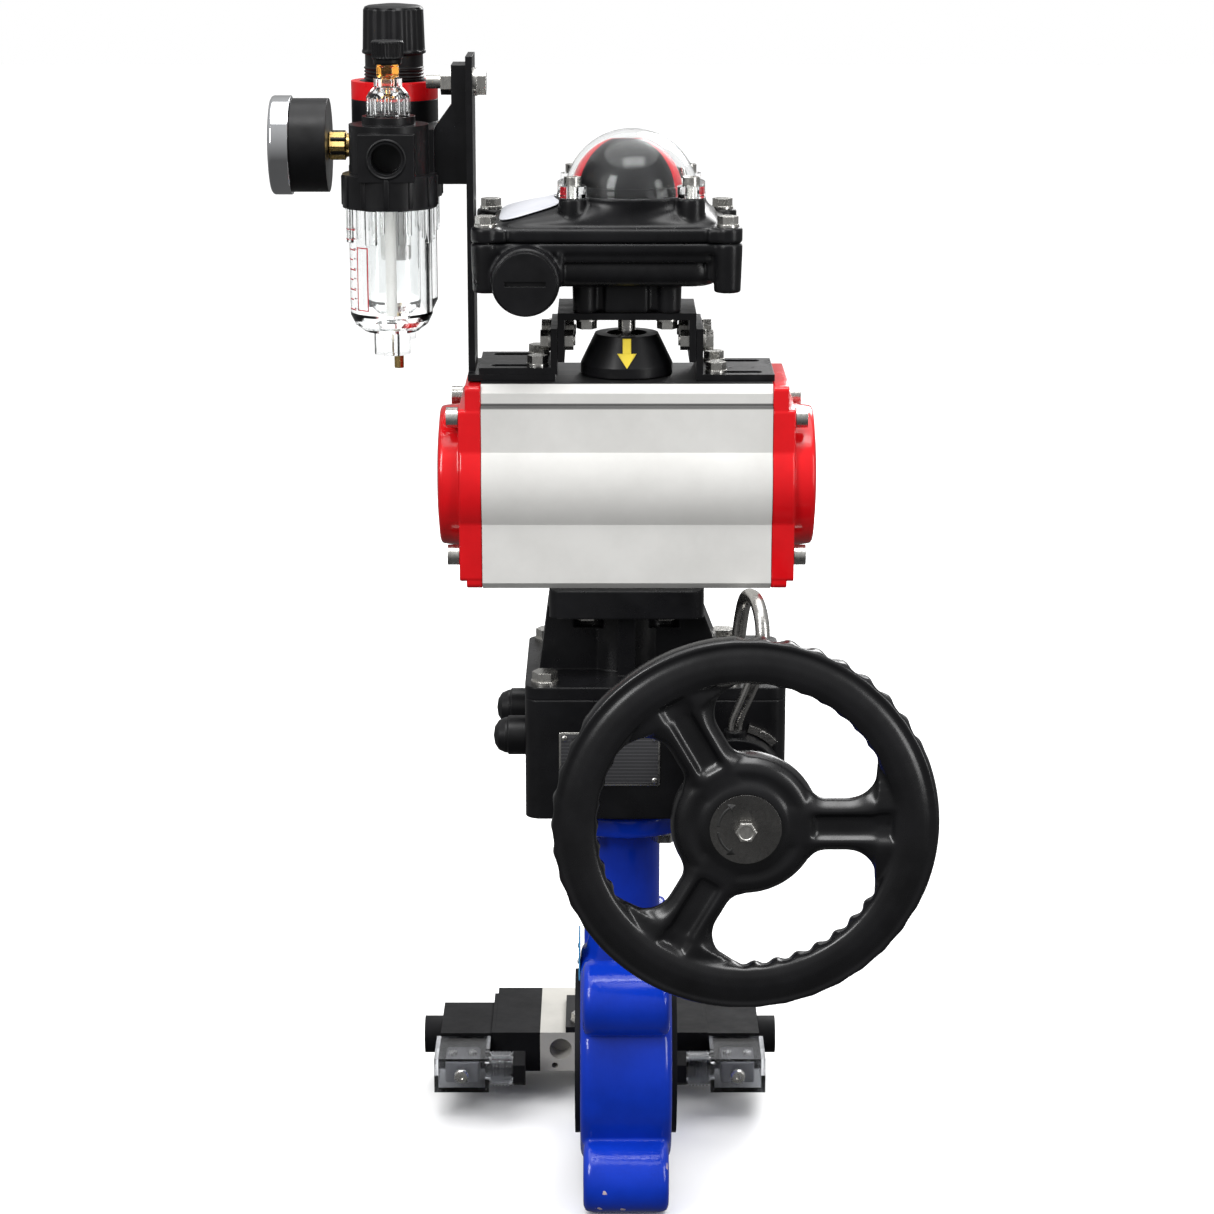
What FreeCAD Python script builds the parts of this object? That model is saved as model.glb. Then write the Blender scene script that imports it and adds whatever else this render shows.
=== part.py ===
"""Pneumatic actuated butterfly valve with a declutchable gear override, a limit switch box,
a filter, regulator and lubricator unit and a double solenoid valve.

Millimetres. +X is the flow axis, +Z is the stem axis pointing up, +Y points to the back.
The origin is the centre of the valve bore on the stem axis.
"""
import FreeCAD
import Part
import math
import os

V = FreeCAD.Vector
X = V(1, 0, 0)
Y = V(0, 1, 0)
Z = V(0, 0, 1)

# ---- clearances -------------------------------------------------------------------------
RUN = 0.05          # radial running fit of a shaft in its bush
SLIP = 0.15         # radial gap of a screw in its hole and of a part in its pocket
GAP = 0.3           # gap between curved faces that do not work together

# ---- valve ------------------------------------------------------------------------------
FACE_TO_FACE = 43.0
RING_R = 52.0
LINER_POCKET_R = 33.0
BORE_R = 26.0
LIP_R = 39.0
LIP_T = 2.5
DISC_T = 8.0
DISC_HUB_R = 9.5
LUG_PCD = 125.0
LUG_R = 17.5
LUG_T = 40.0
LUG_HOLE_R = 7.0
LUG_COUNT = 4
LUG_WEB = 24.0
STEM_R = 6.5
STEM_FOOT_Z = -40.0
NECK_R = 16.0
TOP_FLANGE_R = 35.0
TOP_FLANGE_T = 10.0
TOP_FLANGE_Z = 128.0
TOP_FLANGE_PCD = 50.0
M6_R = 3.0
M6_AF = 10.0
M6_HEAD = 4.0
BUSH_WALL = 2.0

# ---- gearbox ----------------------------------------------------------------------------
BOX_LEFT = -46.0
BOX_RIGHT = 72.0
BOX_HALF_Y = 46.0
BOX_FLOOR_Z = 132.0
BOX_TOP_Z = 188.0
BOX_CORNER = 7.0
FLOOR_T = 6.0
GEAR_MODULE = 2.0
WHEEL_TEETH = 38
WHEEL_FACE = 10.0
WHEEL_Z = 149.5
WORM_R = 8.0
WORM_TURNS = 5
THROW = 3.6
CLUTCH_REST_DEG = -45.0
GEAR_BACKLASH = 0.35
SLEEVE_R = 16.0
SLEEVE_FLANGE_R = 22.0
JOURNAL_R = 6.4
STOP_Z = 165.0
STOP_Y = 23.0
STOP_R = 4.0
STOP_CAP_R = 9.0
STOP_CAP_L = 15.0
STOP_LUG_R = 31.0
STOP_FACE = 8.0
COVER_T = 6.0
PEDESTAL_TOP_Z = 236.0
PEDESTAL_PLATE = 70.0
PEDESTAL_PLATE_T = 13.0
COLUMN_R = 20.0
SHAFT_R = 11.0
LEVER_R = 3.3

# ---- handwheel --------------------------------------------------------------------------
HANDWHEEL_Y = -105.0
HANDWHEEL_R = 84.5
RIM_WIDTH = 21.0
RIM_DEPTH = 15.0
HUB_R = 29.0
HUB_DEPTH = 20.0
SPOKE_COUNT = 3
SPOKE_WIDTH = 26.0
HUB_PLATE_R = 15.6
HUB_PLATE_T = 1.5

# ---- actuator ---------------------------------------------------------------------------
BODY_HALF_X = 65.0
BODY_TOP_Z = 329.5
BODY_HALF_Y = 32.0
BARREL_R = 36.0
CYL_R = 31.5
CYL_Z = 282.5
CAP_T = 9.0
CAP_BOSS_R = 31.0
CAP_BOSS_H = 12.0
CAP_SCREW_Y = 26.5
CAP_SCREW_Z = 31.5
RACK_MODULE = 1.25
PINION_TEETH = 18
PINION_TOP_R = 9.0
PINION_JOURNAL_R = 12.0
RACK_HALF_Z = 11.0
RACK_BACKLASH = 0.16
PISTON_INNER_X = 31.0
PISTON_T = 14.0
SLOT_W = 4.0
BEACON_R = 20.8
BEACON_TOP_R = 14.3
BEACON_H = 18.5

# ---- switch box and its bracket ---------------------------------------------------------
PLATE_T = 3.0
NAMUR_X = 40.0
NAMUR_Y = 15.0
BRACKET_HALF_Y = 22.0
FOOT_OUT_X = 66.0
FOOT_IN_X = 31.0
BRIDGE_TOP_Z = 360.0
SIDE_BOLT_Z = 347.0
SWITCH_LEFT = -60.0
SWITCH_RIGHT = 44.0
SWITCH_HALF_Y = 37.0
SWITCH_FLOOR_Z = 372.0
SEAM_Z = 393.0
LID_EDGE_Z = 399.0
LID_TOP_Z = 412.0
DOME_X = 2.0
DOME_R = 30.0
DOME_H = 27.5
DOME_WALL = 2.0
DRUM_R = 25.0
SWITCH_SHAFT_R = 4.0
PLUG_X = -44.5
PLUG_Z = 377.0
PLUG_R = 13.6

# ---- filter, regulator and lubricator ---------------------------------------------------
FRL_X = -104.5
UNIT_Y = 21.0
ARM_X = -71.0
ARM_TOP_Z = 472.0
ARM_HALF_Y = 15.0
FRL_BOLT_Z = 460.0
COLLAR_R = 20.8
COLLAR_Z = 407.5
COLLAR_H = 14.5
UNIT_R = 19.5
BODY_TOP = 451.0
LOCK_H = 8.0
KNOB_R = 14.4
KNOB_TOP_Z = 493.0
BOWL_R = 18.2
BOWL_WALL = 2.5
BOWL_BOTTOM_Z = 351.0
PORT_Z = 430.0
PORT_R = 6.6
SIGHT_R = 9.7
GAUGE_R = 21.0
BEZEL_R = 22.2
GAUGE_BACK_X = -134.5
GAUGE_FRONT_X = -160.5

# ---- solenoid valve ---------------------------------------------------------------------
SOL_X = -12.5
SOL_Y = 85.0
SOL_DEPTH = 62.0
SOL_TOP_Z = -26.0
SOL_H = 21.0
SOL_BLOCK_HALF = 30.5
END_BLOCK_L = 23.0
COIL_L = 26.0
COIL_DEPTH = 42.0
COIL_NUT_L = 9.0
CONNECTOR_W = 27.5
CONNECTOR_H = 18.0
CONNECTOR_D = 30.0
SPOOL_R = 5.0
SPOOL_THROW = 2.5


# ---- general shapes ---------------------------------------------------------------------
def box(x0, x1, y0, y1, z0, z1):
    return Part.makeBox(x1 - x0, y1 - y0, z1 - z0, V(x0, y0, z0))


def rod(base, axis, radius, length):
    return Part.makeCylinder(radius, length, base, axis)


def tube(base, axis, outer, inner, length):
    return rod(base, axis, outer, length).cut(rod(base - axis, axis, inner, length + 2))


def taper(base, axis, r1, r2, length):
    return Part.makeCone(r1, r2, length, base, axis)


def aimed(shape, base, axis):
    """A shape built from the origin along +Z, moved to start at base and run along axis."""
    moved = shape.copy()
    moved.Placement = FreeCAD.Placement(base, FreeCAD.Rotation(Z, axis))
    return moved


def prism(points, direction):
    """A straight prism on a closed outline of points."""
    return Part.Face(Part.makePolygon(points + [points[0]])).extrude(direction)


def rounded_plate(x0, x1, y0, y1, z0, height, corner):
    """A plate with its four upright edges rounded."""
    block = box(x0, x1, y0, y1, z0, z0 + height)
    upright = [e for e in block.Edges if abs(e.Vertexes[0].Z - e.Vertexes[-1].Z) > height / 2]
    return block.makeFillet(corner, upright)


def turned(profile, base, axis):
    """A solid of revolution: profile is a closed list of (radius, height) about axis."""
    face = Part.Face(Part.makePolygon([V(r, 0, h) for r, h in profile + [profile[0]]]))
    return aimed(face.revolve(V(0, 0, 0), Z, 360), base, axis)


def hex_bar(base, axis, flats, length):
    corner = flats / math.sqrt(3)
    ring = [V(corner * math.cos(math.pi / 3 * i), corner * math.sin(math.pi / 3 * i), 0) for i in range(6)]
    return aimed(prism(ring, Z * length), base, axis)


def hex_bolt(seat, into, radius, shank, flats, head, washer=0.0):
    """A hexagon head bolt whose head or washer stands on seat and whose shank runs along into."""
    out = into * -1
    solid = rod(seat, into, radius, shank).fuse(hex_bar(seat + out * washer, out, flats, head))
    if washer:
        solid = solid.fuse(rod(seat, out, flats * 0.62, washer))
    return solid.removeSplitter()


def socket_screw(seat, into, radius, shank, head_r, head):
    """A cap screw with a hexagon socket."""
    out = into * -1
    solid = rod(seat, into, radius, shank).fuse(rod(seat, out, head_r, head))
    return solid.cut(hex_bar(seat + out * head * 0.45, out, head_r * 0.95, head))


def square_bar(centre, side, z0, z1):
    half = side / 2
    return box(centre.x - half, centre.x + half, centre.y - half, centre.y + half, z0, z1)


def fused(shapes):
    return shapes[0].multiFuse(shapes[1:]).removeSplitter()


def cut_all(shape, tools):
    return shape.cut(Part.makeCompound(tools))


def polar(radius, degrees):
    return radius * math.cos(math.radians(degrees)), radius * math.sin(math.radians(degrees))


def save(name, shapes):
    """Write one node: a single solid, or a group of separate like solids."""
    shape = Part.makeCompound(shapes) if isinstance(shapes, list) else shapes
    shape.exportStep("parts/" + name + ".step")


# ---- valve ------------------------------------------------------------------------------
HALF_FACE = FACE_TO_FACE / 2
FLANGE_BOTTOM = TOP_FLANGE_Z - TOP_FLANGE_T
STEM_BORE_R = STEM_R + RUN + BUSH_WALL
BUSH_SPANS = [(STEM_FOOT_Z - 1, -35.0), (62.0, 74.0), (104.0, 116.0)]
DISC_R = BORE_R - GAP


def lug_points(pcd, count, start):
    return [polar(pcd / 2, start + 360.0 / count * i) for i in range(count)]


def top_bolt_points():
    return lug_points(TOP_FLANGE_PCD, 4, 45)


def valve_body():
    parts = [rod(V(-HALF_FACE, 0, 0), X, RING_R, FACE_TO_FACE)]
    for y, z in lug_points(LUG_PCD, LUG_COUNT, 45):
        parts.append(rod(V(-LUG_T / 2, y, z), X, LUG_R, LUG_T))
    for i in range(LUG_COUNT):
        web = box(-LUG_T / 2, LUG_T / 2, LINER_POCKET_R + 7, LUG_PCD / 2, -LUG_WEB / 2, LUG_WEB / 2)
        web.rotate(V(0, 0, 0), X, 45 + 360.0 / LUG_COUNT * i)
        parts.append(web)
    parts.append(rod(V(0, 0, 40), Z, NECK_R, FLANGE_BOTTOM - 40))
    parts.append(taper(V(0, 0, RING_R - 8), Z, HALF_FACE - 1, NECK_R, 20))
    parts.append(rod(V(0, 0, FLANGE_BOTTOM), Z, TOP_FLANGE_R, TOP_FLANGE_T))
    parts.append(rod(V(0, 0, -RING_R - 2), Z, STEM_BORE_R + 4, RING_R - 30))
    body = fused(parts)
    holes = [rod(V(-HALF_FACE - 1, 0, 0), X, LINER_POCKET_R, FACE_TO_FACE + 2)]
    holes.append(rod(V(0, 0, STEM_FOOT_Z - 2), Z, STEM_BORE_R, TOP_FLANGE_Z - STEM_FOOT_Z + 3))
    for y, z in lug_points(LUG_PCD, LUG_COUNT, 45):
        holes.append(rod(V(-LUG_T / 2 - 1, y, z), X, LUG_HOLE_R, LUG_T + 2))
    for x, y in top_bolt_points():
        holes.append(rod(V(x, y, FLANGE_BOTTOM - 1), Z, M6_R + SLIP, TOP_FLANGE_T + 2))
    return cut_all(body, holes)


def seat_liner():
    liner = rod(V(-HALF_FACE, 0, 0), X, LINER_POCKET_R - 0.1, FACE_TO_FACE)
    lips = [rod(V(-HALF_FACE - LIP_T, 0, 0), X, LIP_R, LIP_T), rod(V(HALF_FACE, 0, 0), X, LIP_R, LIP_T)]
    liner = fused([liner] + lips)
    bore = rod(V(-HALF_FACE - LIP_T - 1, 0, 0), X, BORE_R, FACE_TO_FACE + 2 * LIP_T + 2)
    return cut_all(liner, [bore, rod(V(0, 0, -40), Z, STEM_R + RUN, 80)])


def valve_disc():
    slab = rod(V(-DISC_T / 2, 0, 0), X, DISC_R + 1, DISC_T)
    hub = rod(V(0, 0, -DISC_R - 1), Z, DISC_HUB_R, 2 * DISC_R + 2)
    ball = Part.makeSphere(DISC_R)
    disc = slab.fuse(hub).common(ball)
    return disc.cut(rod(V(0, 0, -DISC_R - 1), Z, STEM_R + RUN, 2 * DISC_R + 2))


def valve_stem():
    stem = rod(V(0, 0, STEM_FOOT_Z), Z, STEM_R, WHEEL_SOCKET_Z - STEM_FOOT_Z)
    return stem.fuse(square_bar(V(0, 0, 0), STEM_SQUARE, WHEEL_SOCKET_Z, SHAFT_FOOT_Z - 1)).removeSplitter()


def shaft_bushes():
    """Bushes of the stem, of the upper shaft and of the pinion."""
    bushes = [tube(V(0, 0, a), Z, STEM_BORE_R - 0.1, STEM_R + RUN, b - a) for a, b in BUSH_SPANS]
    bushes.append(tube(V(0, 0, PEDESTAL_TOP_Z - 12), Z, SHAFT_BUSH_R, SHAFT_R + RUN, 10))
    for z in (PEDESTAL_TOP_Z + 2, BODY_TOP_Z - 12):
        bushes.append(tube(V(0, 0, z), Z, PINION_BUSH_R, PINION_JOURNAL_R + RUN, 10))
    return bushes


def flange_bolts():
    return [hex_bolt(V(x, y, FLANGE_BOTTOM), Z, M6_R, TOP_FLANGE_T + 8, M6_AF, M6_HEAD, 1.6)
            for x, y in top_bolt_points()]


# ---- gearbox ----------------------------------------------------------------------------
WHEEL_R = GEAR_MODULE * WHEEL_TEETH / 2
MESH_X = WHEEL_R + WORM_R
THROW_SIDE = THROW * math.cos(math.radians(CLUTCH_REST_DEG))
SLEEVE_X = MESH_X + THROW_SIDE
SLEEVE_Z = WHEEL_Z - THROW * math.sin(math.radians(CLUTCH_REST_DEG))
WORM_X = SLEEVE_X + THROW_SIDE
WORM_PITCH = math.pi * GEAR_MODULE
WORM_HALF = WORM_TURNS * WORM_PITCH / 2
WORM_ROOT_R = WORM_R - 1.25 * GEAR_MODULE
CAVITY_R = WHEEL_R + GEAR_MODULE + 1.5
WHEEL_HUB_R = 16.5
WHEEL_BOTTOM = BOX_FLOOR_Z + FLOOR_T + GAP
WHEEL_SOCKET_Z = WHEEL_BOTTOM + 8
STEM_SQUARE = 9.0
SHAFT_FOOT_Z = 162.0
SHAFT_SQUARE = 15.0
WHEEL_TOP = 182.0
COVER_TOP = BOX_TOP_Z + COVER_T
PINION_SOCKET_TOP = PEDESTAL_TOP_Z + 16
PINION_SQUARE = 13.0
SHAFT_BUSH_R = SHAFT_R + RUN + BUSH_WALL
PINION_BUSH_R = PINION_JOURNAL_R + RUN + BUSH_WALL
COVER_BOLTS = [(-37.0, -38.0), (-37.0, 38.0), (46.0, -38.0), (46.0, 38.0)]
SLEEVE_FRONT = -BOX_HALF_Y - 15
SLEEVE_BACK = BOX_HALF_Y - 8


def gearbox_housing():
    shell = rounded_plate(BOX_LEFT, BOX_RIGHT, -BOX_HALF_Y, BOX_HALF_Y, BOX_FLOOR_Z,
                          BOX_TOP_Z - BOX_FLOOR_Z, BOX_CORNER)
    shell = shell.fuse(rod(V(0, 0, TOP_FLANGE_Z), Z, TOP_FLANGE_R, BOX_FLOOR_Z - TOP_FLANGE_Z + 1))
    holes = [rod(V(0, 0, BOX_FLOOR_Z + FLOOR_T), Z, CAVITY_R, BOX_TOP_Z)]
    holes.append(rod(V(0, 0, TOP_FLANGE_Z - 1), Z, STEM_R + 1, 20))
    holes.append(rod(V(SLEEVE_X, -BOX_HALF_Y - 1, SLEEVE_Z), Y, SLEEVE_R + RUN, SLEEVE_BACK + BOX_HALF_Y + 1.5))
    for x, y in top_bolt_points():
        holes.append(rod(V(x, y, TOP_FLANGE_Z - 1), Z, M6_R + SLIP, 9.5))
    for x, y in COVER_BOLTS:
        holes.append(rod(V(x, y, BOX_TOP_Z - 14), Z, M6_R + SLIP, 15))
    for y in (-STOP_Y, STOP_Y):
        holes.append(rod(V(BOX_LEFT - 1, y, STOP_Z), X, STOP_R + SLIP, 30))
    x, z = latch_pin_place()
    holes.append(rod(V(x, -BOX_HALF_Y - 1, z), Y, 1.6 + SLIP, 7))
    for x in (-8.0, 8.0):
        holes.append(rod(V(x, BOX_HALF_Y - 4.2, BRACKET_BOLT_Z), Y, M5_R + SLIP, 10))
    return cut_all(shell, holes)


def pedestal_wing(side, outer_low, outer_high):
    """A tapered side wing between the column and the top plate."""
    low = COVER_TOP - 1
    high = PEDESTAL_TOP_Z - PEDESTAL_PLATE_T + 1
    outline = [V(0, -15, low), V(side * outer_low, -15, low), V(side * outer_high, -15, high), V(0, -15, high)]
    return prism(outline, Y * 30)


def gearbox_cover():
    """The cover plate and the pedestal that carries the actuator, in one casting."""
    plate = rounded_plate(BOX_LEFT, BOX_RIGHT, -BOX_HALF_Y, BOX_HALF_Y, BOX_TOP_Z, COVER_T, BOX_CORNER)
    half = PEDESTAL_PLATE / 2
    top = rounded_plate(-half, half, -half, half, PEDESTAL_TOP_Z - PEDESTAL_PLATE_T, PEDESTAL_PLATE_T, 6)
    column = rod(V(0, 0, COVER_TOP - 1), Z, COLUMN_R, PEDESTAL_TOP_Z - COVER_TOP)
    ribs = box(-4, 4, -27, 27, COVER_TOP - 1, PEDESTAL_TOP_Z - 2)
    wings = [pedestal_wing(-1, 40, 36), pedestal_wing(1, 46, 34)]
    cover = fused([plate, top, column, ribs] + wings)
    holes = [rod(V(0, 0, BOX_TOP_Z - 1), Z, SHAFT_R + 1, PEDESTAL_TOP_Z)]
    holes.append(rod(V(0, 0, PEDESTAL_TOP_Z - 12), Z, SHAFT_BUSH_R + 0.1, 20))
    for x, y in COVER_BOLTS:
        holes.append(rod(V(x, y, BOX_TOP_Z - 1), Z, M6_R + SLIP, COVER_T + 2))
    for x, y in top_bolt_points():
        holes.append(rod(V(x, y, PEDESTAL_TOP_Z - PEDESTAL_PLATE_T - 1), Z, M6_R + SLIP, 20))
        away = V(x, y, PEDESTAL_TOP_Z - PEDESTAL_PLATE_T - 9)
        holes.append(rod(away, Z, M6_AF * 0.72, 9))
    return cut_all(cover, holes)


def cover_bolts():
    return [hex_bolt(V(x, y, COVER_TOP), Z * -1, M6_R, COVER_T + 12, M6_AF, M6_HEAD, 1.6)
            for x, y in COVER_BOLTS]


def pedestal_screws():
    seat = PEDESTAL_TOP_Z - PEDESTAL_PLATE_T
    return [hex_bolt(V(x, y, seat), Z, M6_R, PEDESTAL_PLATE_T + 9, M6_AF, M6_HEAD)
            for x, y in top_bolt_points()]


def stop_screws():
    """Travel stop screws and the domed caps over their outer ends."""
    solids = []
    for y in (-STOP_Y, STOP_Y):
        tip = -STOP_FACE - 0.1
        start = BOX_LEFT - STOP_CAP_L * 0.55
        solids.append(rod(V(start, y, STOP_Z), X, STOP_R, tip - start))
        cap = turned([(0, 0), (STOP_CAP_R, 0), (STOP_CAP_R, 8), (STOP_CAP_R - 0.8, 8.6),
                      (STOP_CAP_R - 0.8, 9.5), (STOP_CAP_R - 2.2, 12.6), (STOP_CAP_R - 5, STOP_CAP_L - 0.6),
                      (0, STOP_CAP_L)], V(BOX_LEFT, y, STOP_Z), X * -1)
        solids.append(cap.cut(rod(V(BOX_LEFT + 1, y, STOP_Z), X * -1, STOP_R + SLIP, STOP_CAP_L * 0.55 + 2)))
    return solids


def wheel_outline(z, twist):
    """Tooth outline of the worm wheel as a polygon at one height, turned by twist radians."""
    points = []
    pitch = 2 * math.pi / WHEEL_TEETH
    rows = [(WHEEL_R - 1.25 * GEAR_MODULE, 0.36), (WHEEL_R, 0.25), (WHEEL_R + GEAR_MODULE, 0.135)]
    slack = GEAR_BACKLASH / (2 * math.pi * GEAR_MODULE)
    for i in range(WHEEL_TEETH):
        centre = i * pitch + twist
        left = [(r, centre - (half - slack / 2) * pitch) for r, half in rows]
        right = [(r, centre + (half - slack / 2) * pitch) for r, half in reversed(rows)]
        points += [V(r * math.cos(a), r * math.sin(a), z) for r, a in left + right]
    return Part.makePolygon(points + [points[0]])


def worm_wheel():
    """Helical worm wheel with its hub and the quadrant that meets the stop screws.

    A tooth gap faces the worm at both ends of the quarter turn."""
    half = WHEEL_FACE / 2
    lead = math.atan(GEAR_MODULE / (2 * WORM_R))
    lean = half * math.tan(lead) / WHEEL_R
    low = wheel_outline(WHEEL_Z - half, TOOTH_PHASE - lean)
    high = wheel_outline(WHEEL_Z + half, TOOTH_PHASE + lean)
    rim = Part.makeLoft([low, high], True, True)
    hub = rod(V(0, 0, WHEEL_BOTTOM), Z, WHEEL_HUB_R, WHEEL_TOP - WHEEL_BOTTOM)
    lug = box(-STOP_FACE, 40, -40, STOP_FACE, WHEEL_Z + half, STOP_Z + 8)
    lug = lug.common(rod(V(0, 0, 0), Z, STOP_LUG_R, 400))
    wheel = fused([rim, hub, lug])
    stem_hole = rod(V(0, 0, WHEEL_BOTTOM - 1), Z, STEM_R + RUN, WHEEL_SOCKET_Z - WHEEL_BOTTOM + 1)
    stem_square = square_bar(V(0, 0, 0), STEM_SQUARE + 0.1, WHEEL_SOCKET_Z - 1, SHAFT_FOOT_Z + 1)
    shaft_square = square_bar(V(0, 0, 0), SHAFT_SQUARE + 0.1, SHAFT_FOOT_Z, WHEEL_TOP + 1)
    return cut_all(wheel, [stem_hole, stem_square, shaft_square])


TOOTH_PHASE = math.pi / WHEEL_TEETH


def drive_shaft():
    """Upper shaft: a square foot in the worm wheel, a square head in the pinion."""
    foot = square_bar(V(0, 0, 0), SHAFT_SQUARE, SHAFT_FOOT_Z + 0.2, WHEEL_TOP + 1)
    shaft = rod(V(0, 0, WHEEL_TOP + 0.2), Z, SHAFT_R, PEDESTAL_TOP_Z - WHEEL_TOP - 0.2)
    head = square_bar(V(0, 0, 0), PINION_SQUARE, PEDESTAL_TOP_Z - 1, PINION_SOCKET_TOP - 1)
    return fused([foot, shaft, head])


def worm_thread():
    """Single-start trapezoid thread along +Z, lofted through eighteen sections a turn.

    An odd number of turns puts its middle crest on the side of the worm wheel."""
    flank = math.tan(math.radians(20))
    foot = WORM_PITCH / 4 + 1.25 * GEAR_MODULE * flank - GEAR_BACKLASH / 2
    tip = WORM_PITCH / 4 - 0.95 * GEAR_MODULE * flank - GEAR_BACKLASH / 2
    crest = WORM_R + 0.95 * GEAR_MODULE
    outline = [(WORM_ROOT_R - 0.5, -foot), (crest, -tip), (crest, tip), (WORM_ROOT_R - 0.5, foot)]
    sections = []
    for i in range(18 * WORM_TURNS + 1):
        turn = i / 18.0
        wire = Part.makePolygon([V(r, 0, z) for r, z in outline + outline[:1]])
        wire.rotate(V(0, 0, 0), Z, 360.0 * turn)
        wire.translate(V(0, 0, WORM_PITCH * turn - WORM_HALF))
        sections.append(wire)
    return Part.makeLoft(sections, True, True)


def worm_shaft():
    """Worm, its journals and the square-shouldered end that takes the handwheel.

    The thread lies a quarter pitch back, because throwing the clutch turns it a quarter turn."""
    centre = V(WORM_X, 0, WHEEL_Z)
    thread = aimed(worm_thread(), centre + Y * (WORM_PITCH / 4), Y)
    reach = WORM_HALF + WORM_PITCH / 4 + 3
    core = rod(centre - Y * (reach + 1), Y, WORM_ROOT_R, 2 * reach + 2)
    nose_y = HANDWHEEL_Y - HUB_DEPTH / 2 + 4
    front = rod(V(WORM_X, nose_y, WHEEL_Z), Y, JOURNAL_R, -reach - nose_y)
    back = rod(centre + Y * reach, Y, WORM_R + GEAR_MODULE, SLEEVE_BACK - 1 - reach)
    shaft = core.fuse(thread).fuse(front).fuse(back)
    return shaft.cut(rod(V(WORM_X, nose_y - 1, WHEEL_Z), Y, M6_R + SLIP, 18))


def eccentric_sleeve():
    """Sleeve that carries the worm off its own centre, open on the side of the worm wheel."""
    base = V(SLEEVE_X, SLEEVE_FRONT + 6, SLEEVE_Z)
    sleeve = rod(base, Y, SLEEVE_R, SLEEVE_BACK - SLEEVE_FRONT - 6)
    flange = rod(V(SLEEVE_X, SLEEVE_FRONT, SLEEVE_Z), Y, SLEEVE_FLANGE_R, -BOX_HALF_Y - GAP - SLEEVE_FRONT)
    boss = rod(V(SLEEVE_X, LEVER_Y, SLEEVE_Z + SLEEVE_FLANGE_R - 6), Z, 5, 9)
    sleeve = fused([sleeve, flange, boss])
    worm = V(WORM_X, 0, WHEEL_Z)
    through = rod(worm - Y * 80, Y, JOURNAL_R + RUN, 160)
    wide = rod(worm - Y * (WORM_HALF + 4), Y, WORM_R + GEAR_MODULE + RUN, 100)
    window = []
    for start, end in ((130, 190), (190, 250), (250, 320)):
        corners = [V(SLEEVE_X, -WINDOW_HALF, SLEEVE_Z)]
        for degrees in (start, end):
            x, z = polar(SLEEVE_R * 2.2, degrees)
            corners.append(V(SLEEVE_X + x, -WINDOW_HALF, SLEEVE_Z + z))
        window.append(prism(corners, Y * 2 * WINDOW_HALF))
    pocket = rod(V(SLEEVE_X, LEVER_Y, SLEEVE_Z + SLEEVE_FLANGE_R - 4), Z, LEVER_R + 0.1, 30)
    return cut_all(sleeve, [through, wide, pocket] + window)


WINDOW_HALF = 25.5
LEVER_Y = SLEEVE_FRONT + 6
LATCH_T = 3.0
LATCH_R = SLEEVE_FLANGE_R + 0.6


def latch_pin_place():
    x, z = polar(LATCH_R + 1.75, 59)
    return SLEEVE_X + x, SLEEVE_Z + z


def lever_path():
    """Corner points of the bent rod: up from the boss, over the top and down behind."""
    foot = V(SLEEVE_X, LEVER_Y, SLEEVE_Z + SLEEVE_FLANGE_R - 3.8)
    return [foot, foot + V(0, 0, 13), foot + V(7, -6, 30), foot + V(12, -6, 48),
            foot + V(9, 2, 66), foot + V(5, 22, 66), foot + V(2, 26, 40)]


def bent_rod(points, radius, bend):
    """A round rod along straight runs joined by tangent arcs."""
    edges = []
    start = points[0]
    for before, corner, after in zip(points, points[1:], points[2:]):
        a = (before - corner).normalize()
        b = (after - corner).normalize()
        half = a.getAngle(b) / 2
        reach = min(bend / math.tan(half), 0.45 * (before - corner).Length, 0.45 * (after - corner).Length)
        p = corner + a * reach
        q = corner + b * reach
        middle_way = (a + b).normalize()
        r = reach * math.tan(half)
        centre = corner + middle_way * (r / math.sin(half))
        edges.append(Part.LineSegment(start, p).toShape())
        edges.append(Part.Arc(p, centre - middle_way * r, q).toShape())
        start = q
    edges.append(Part.LineSegment(start, points[-1]).toShape())
    spine = Part.Wire(edges)
    way = (points[1] - points[0]).normalize()
    section = Part.Wire(Part.makeCircle(radius, points[0], way))
    return spine.makePipeShell([section], True, False)


def clutch_lever():
    return bent_rod(lever_path(), LEVER_R, 10.0)


def clutch_latch():
    """Curved stop tab beside the sleeve flange, pinned to the housing front."""
    centre = V(SLEEVE_X, -BOX_HALF_Y - LATCH_T, SLEEVE_Z)
    band = tube(centre, Y, LATCH_R + 3.5, LATCH_R, LATCH_T)
    corners = [centre - Y]
    for degrees in (42, 75):
        x, z = polar(LATCH_R * 1.6, degrees)
        corners.append(centre + V(x, -1, z))
    tab = band.common(prism(corners, Y * (LATCH_T + 2)))
    x, z = latch_pin_place()
    return tab.fuse(rod(V(x, -BOX_HALF_Y - LATCH_T - 1, z), Y, 1.6, LATCH_T + 6)).removeSplitter()


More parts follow.
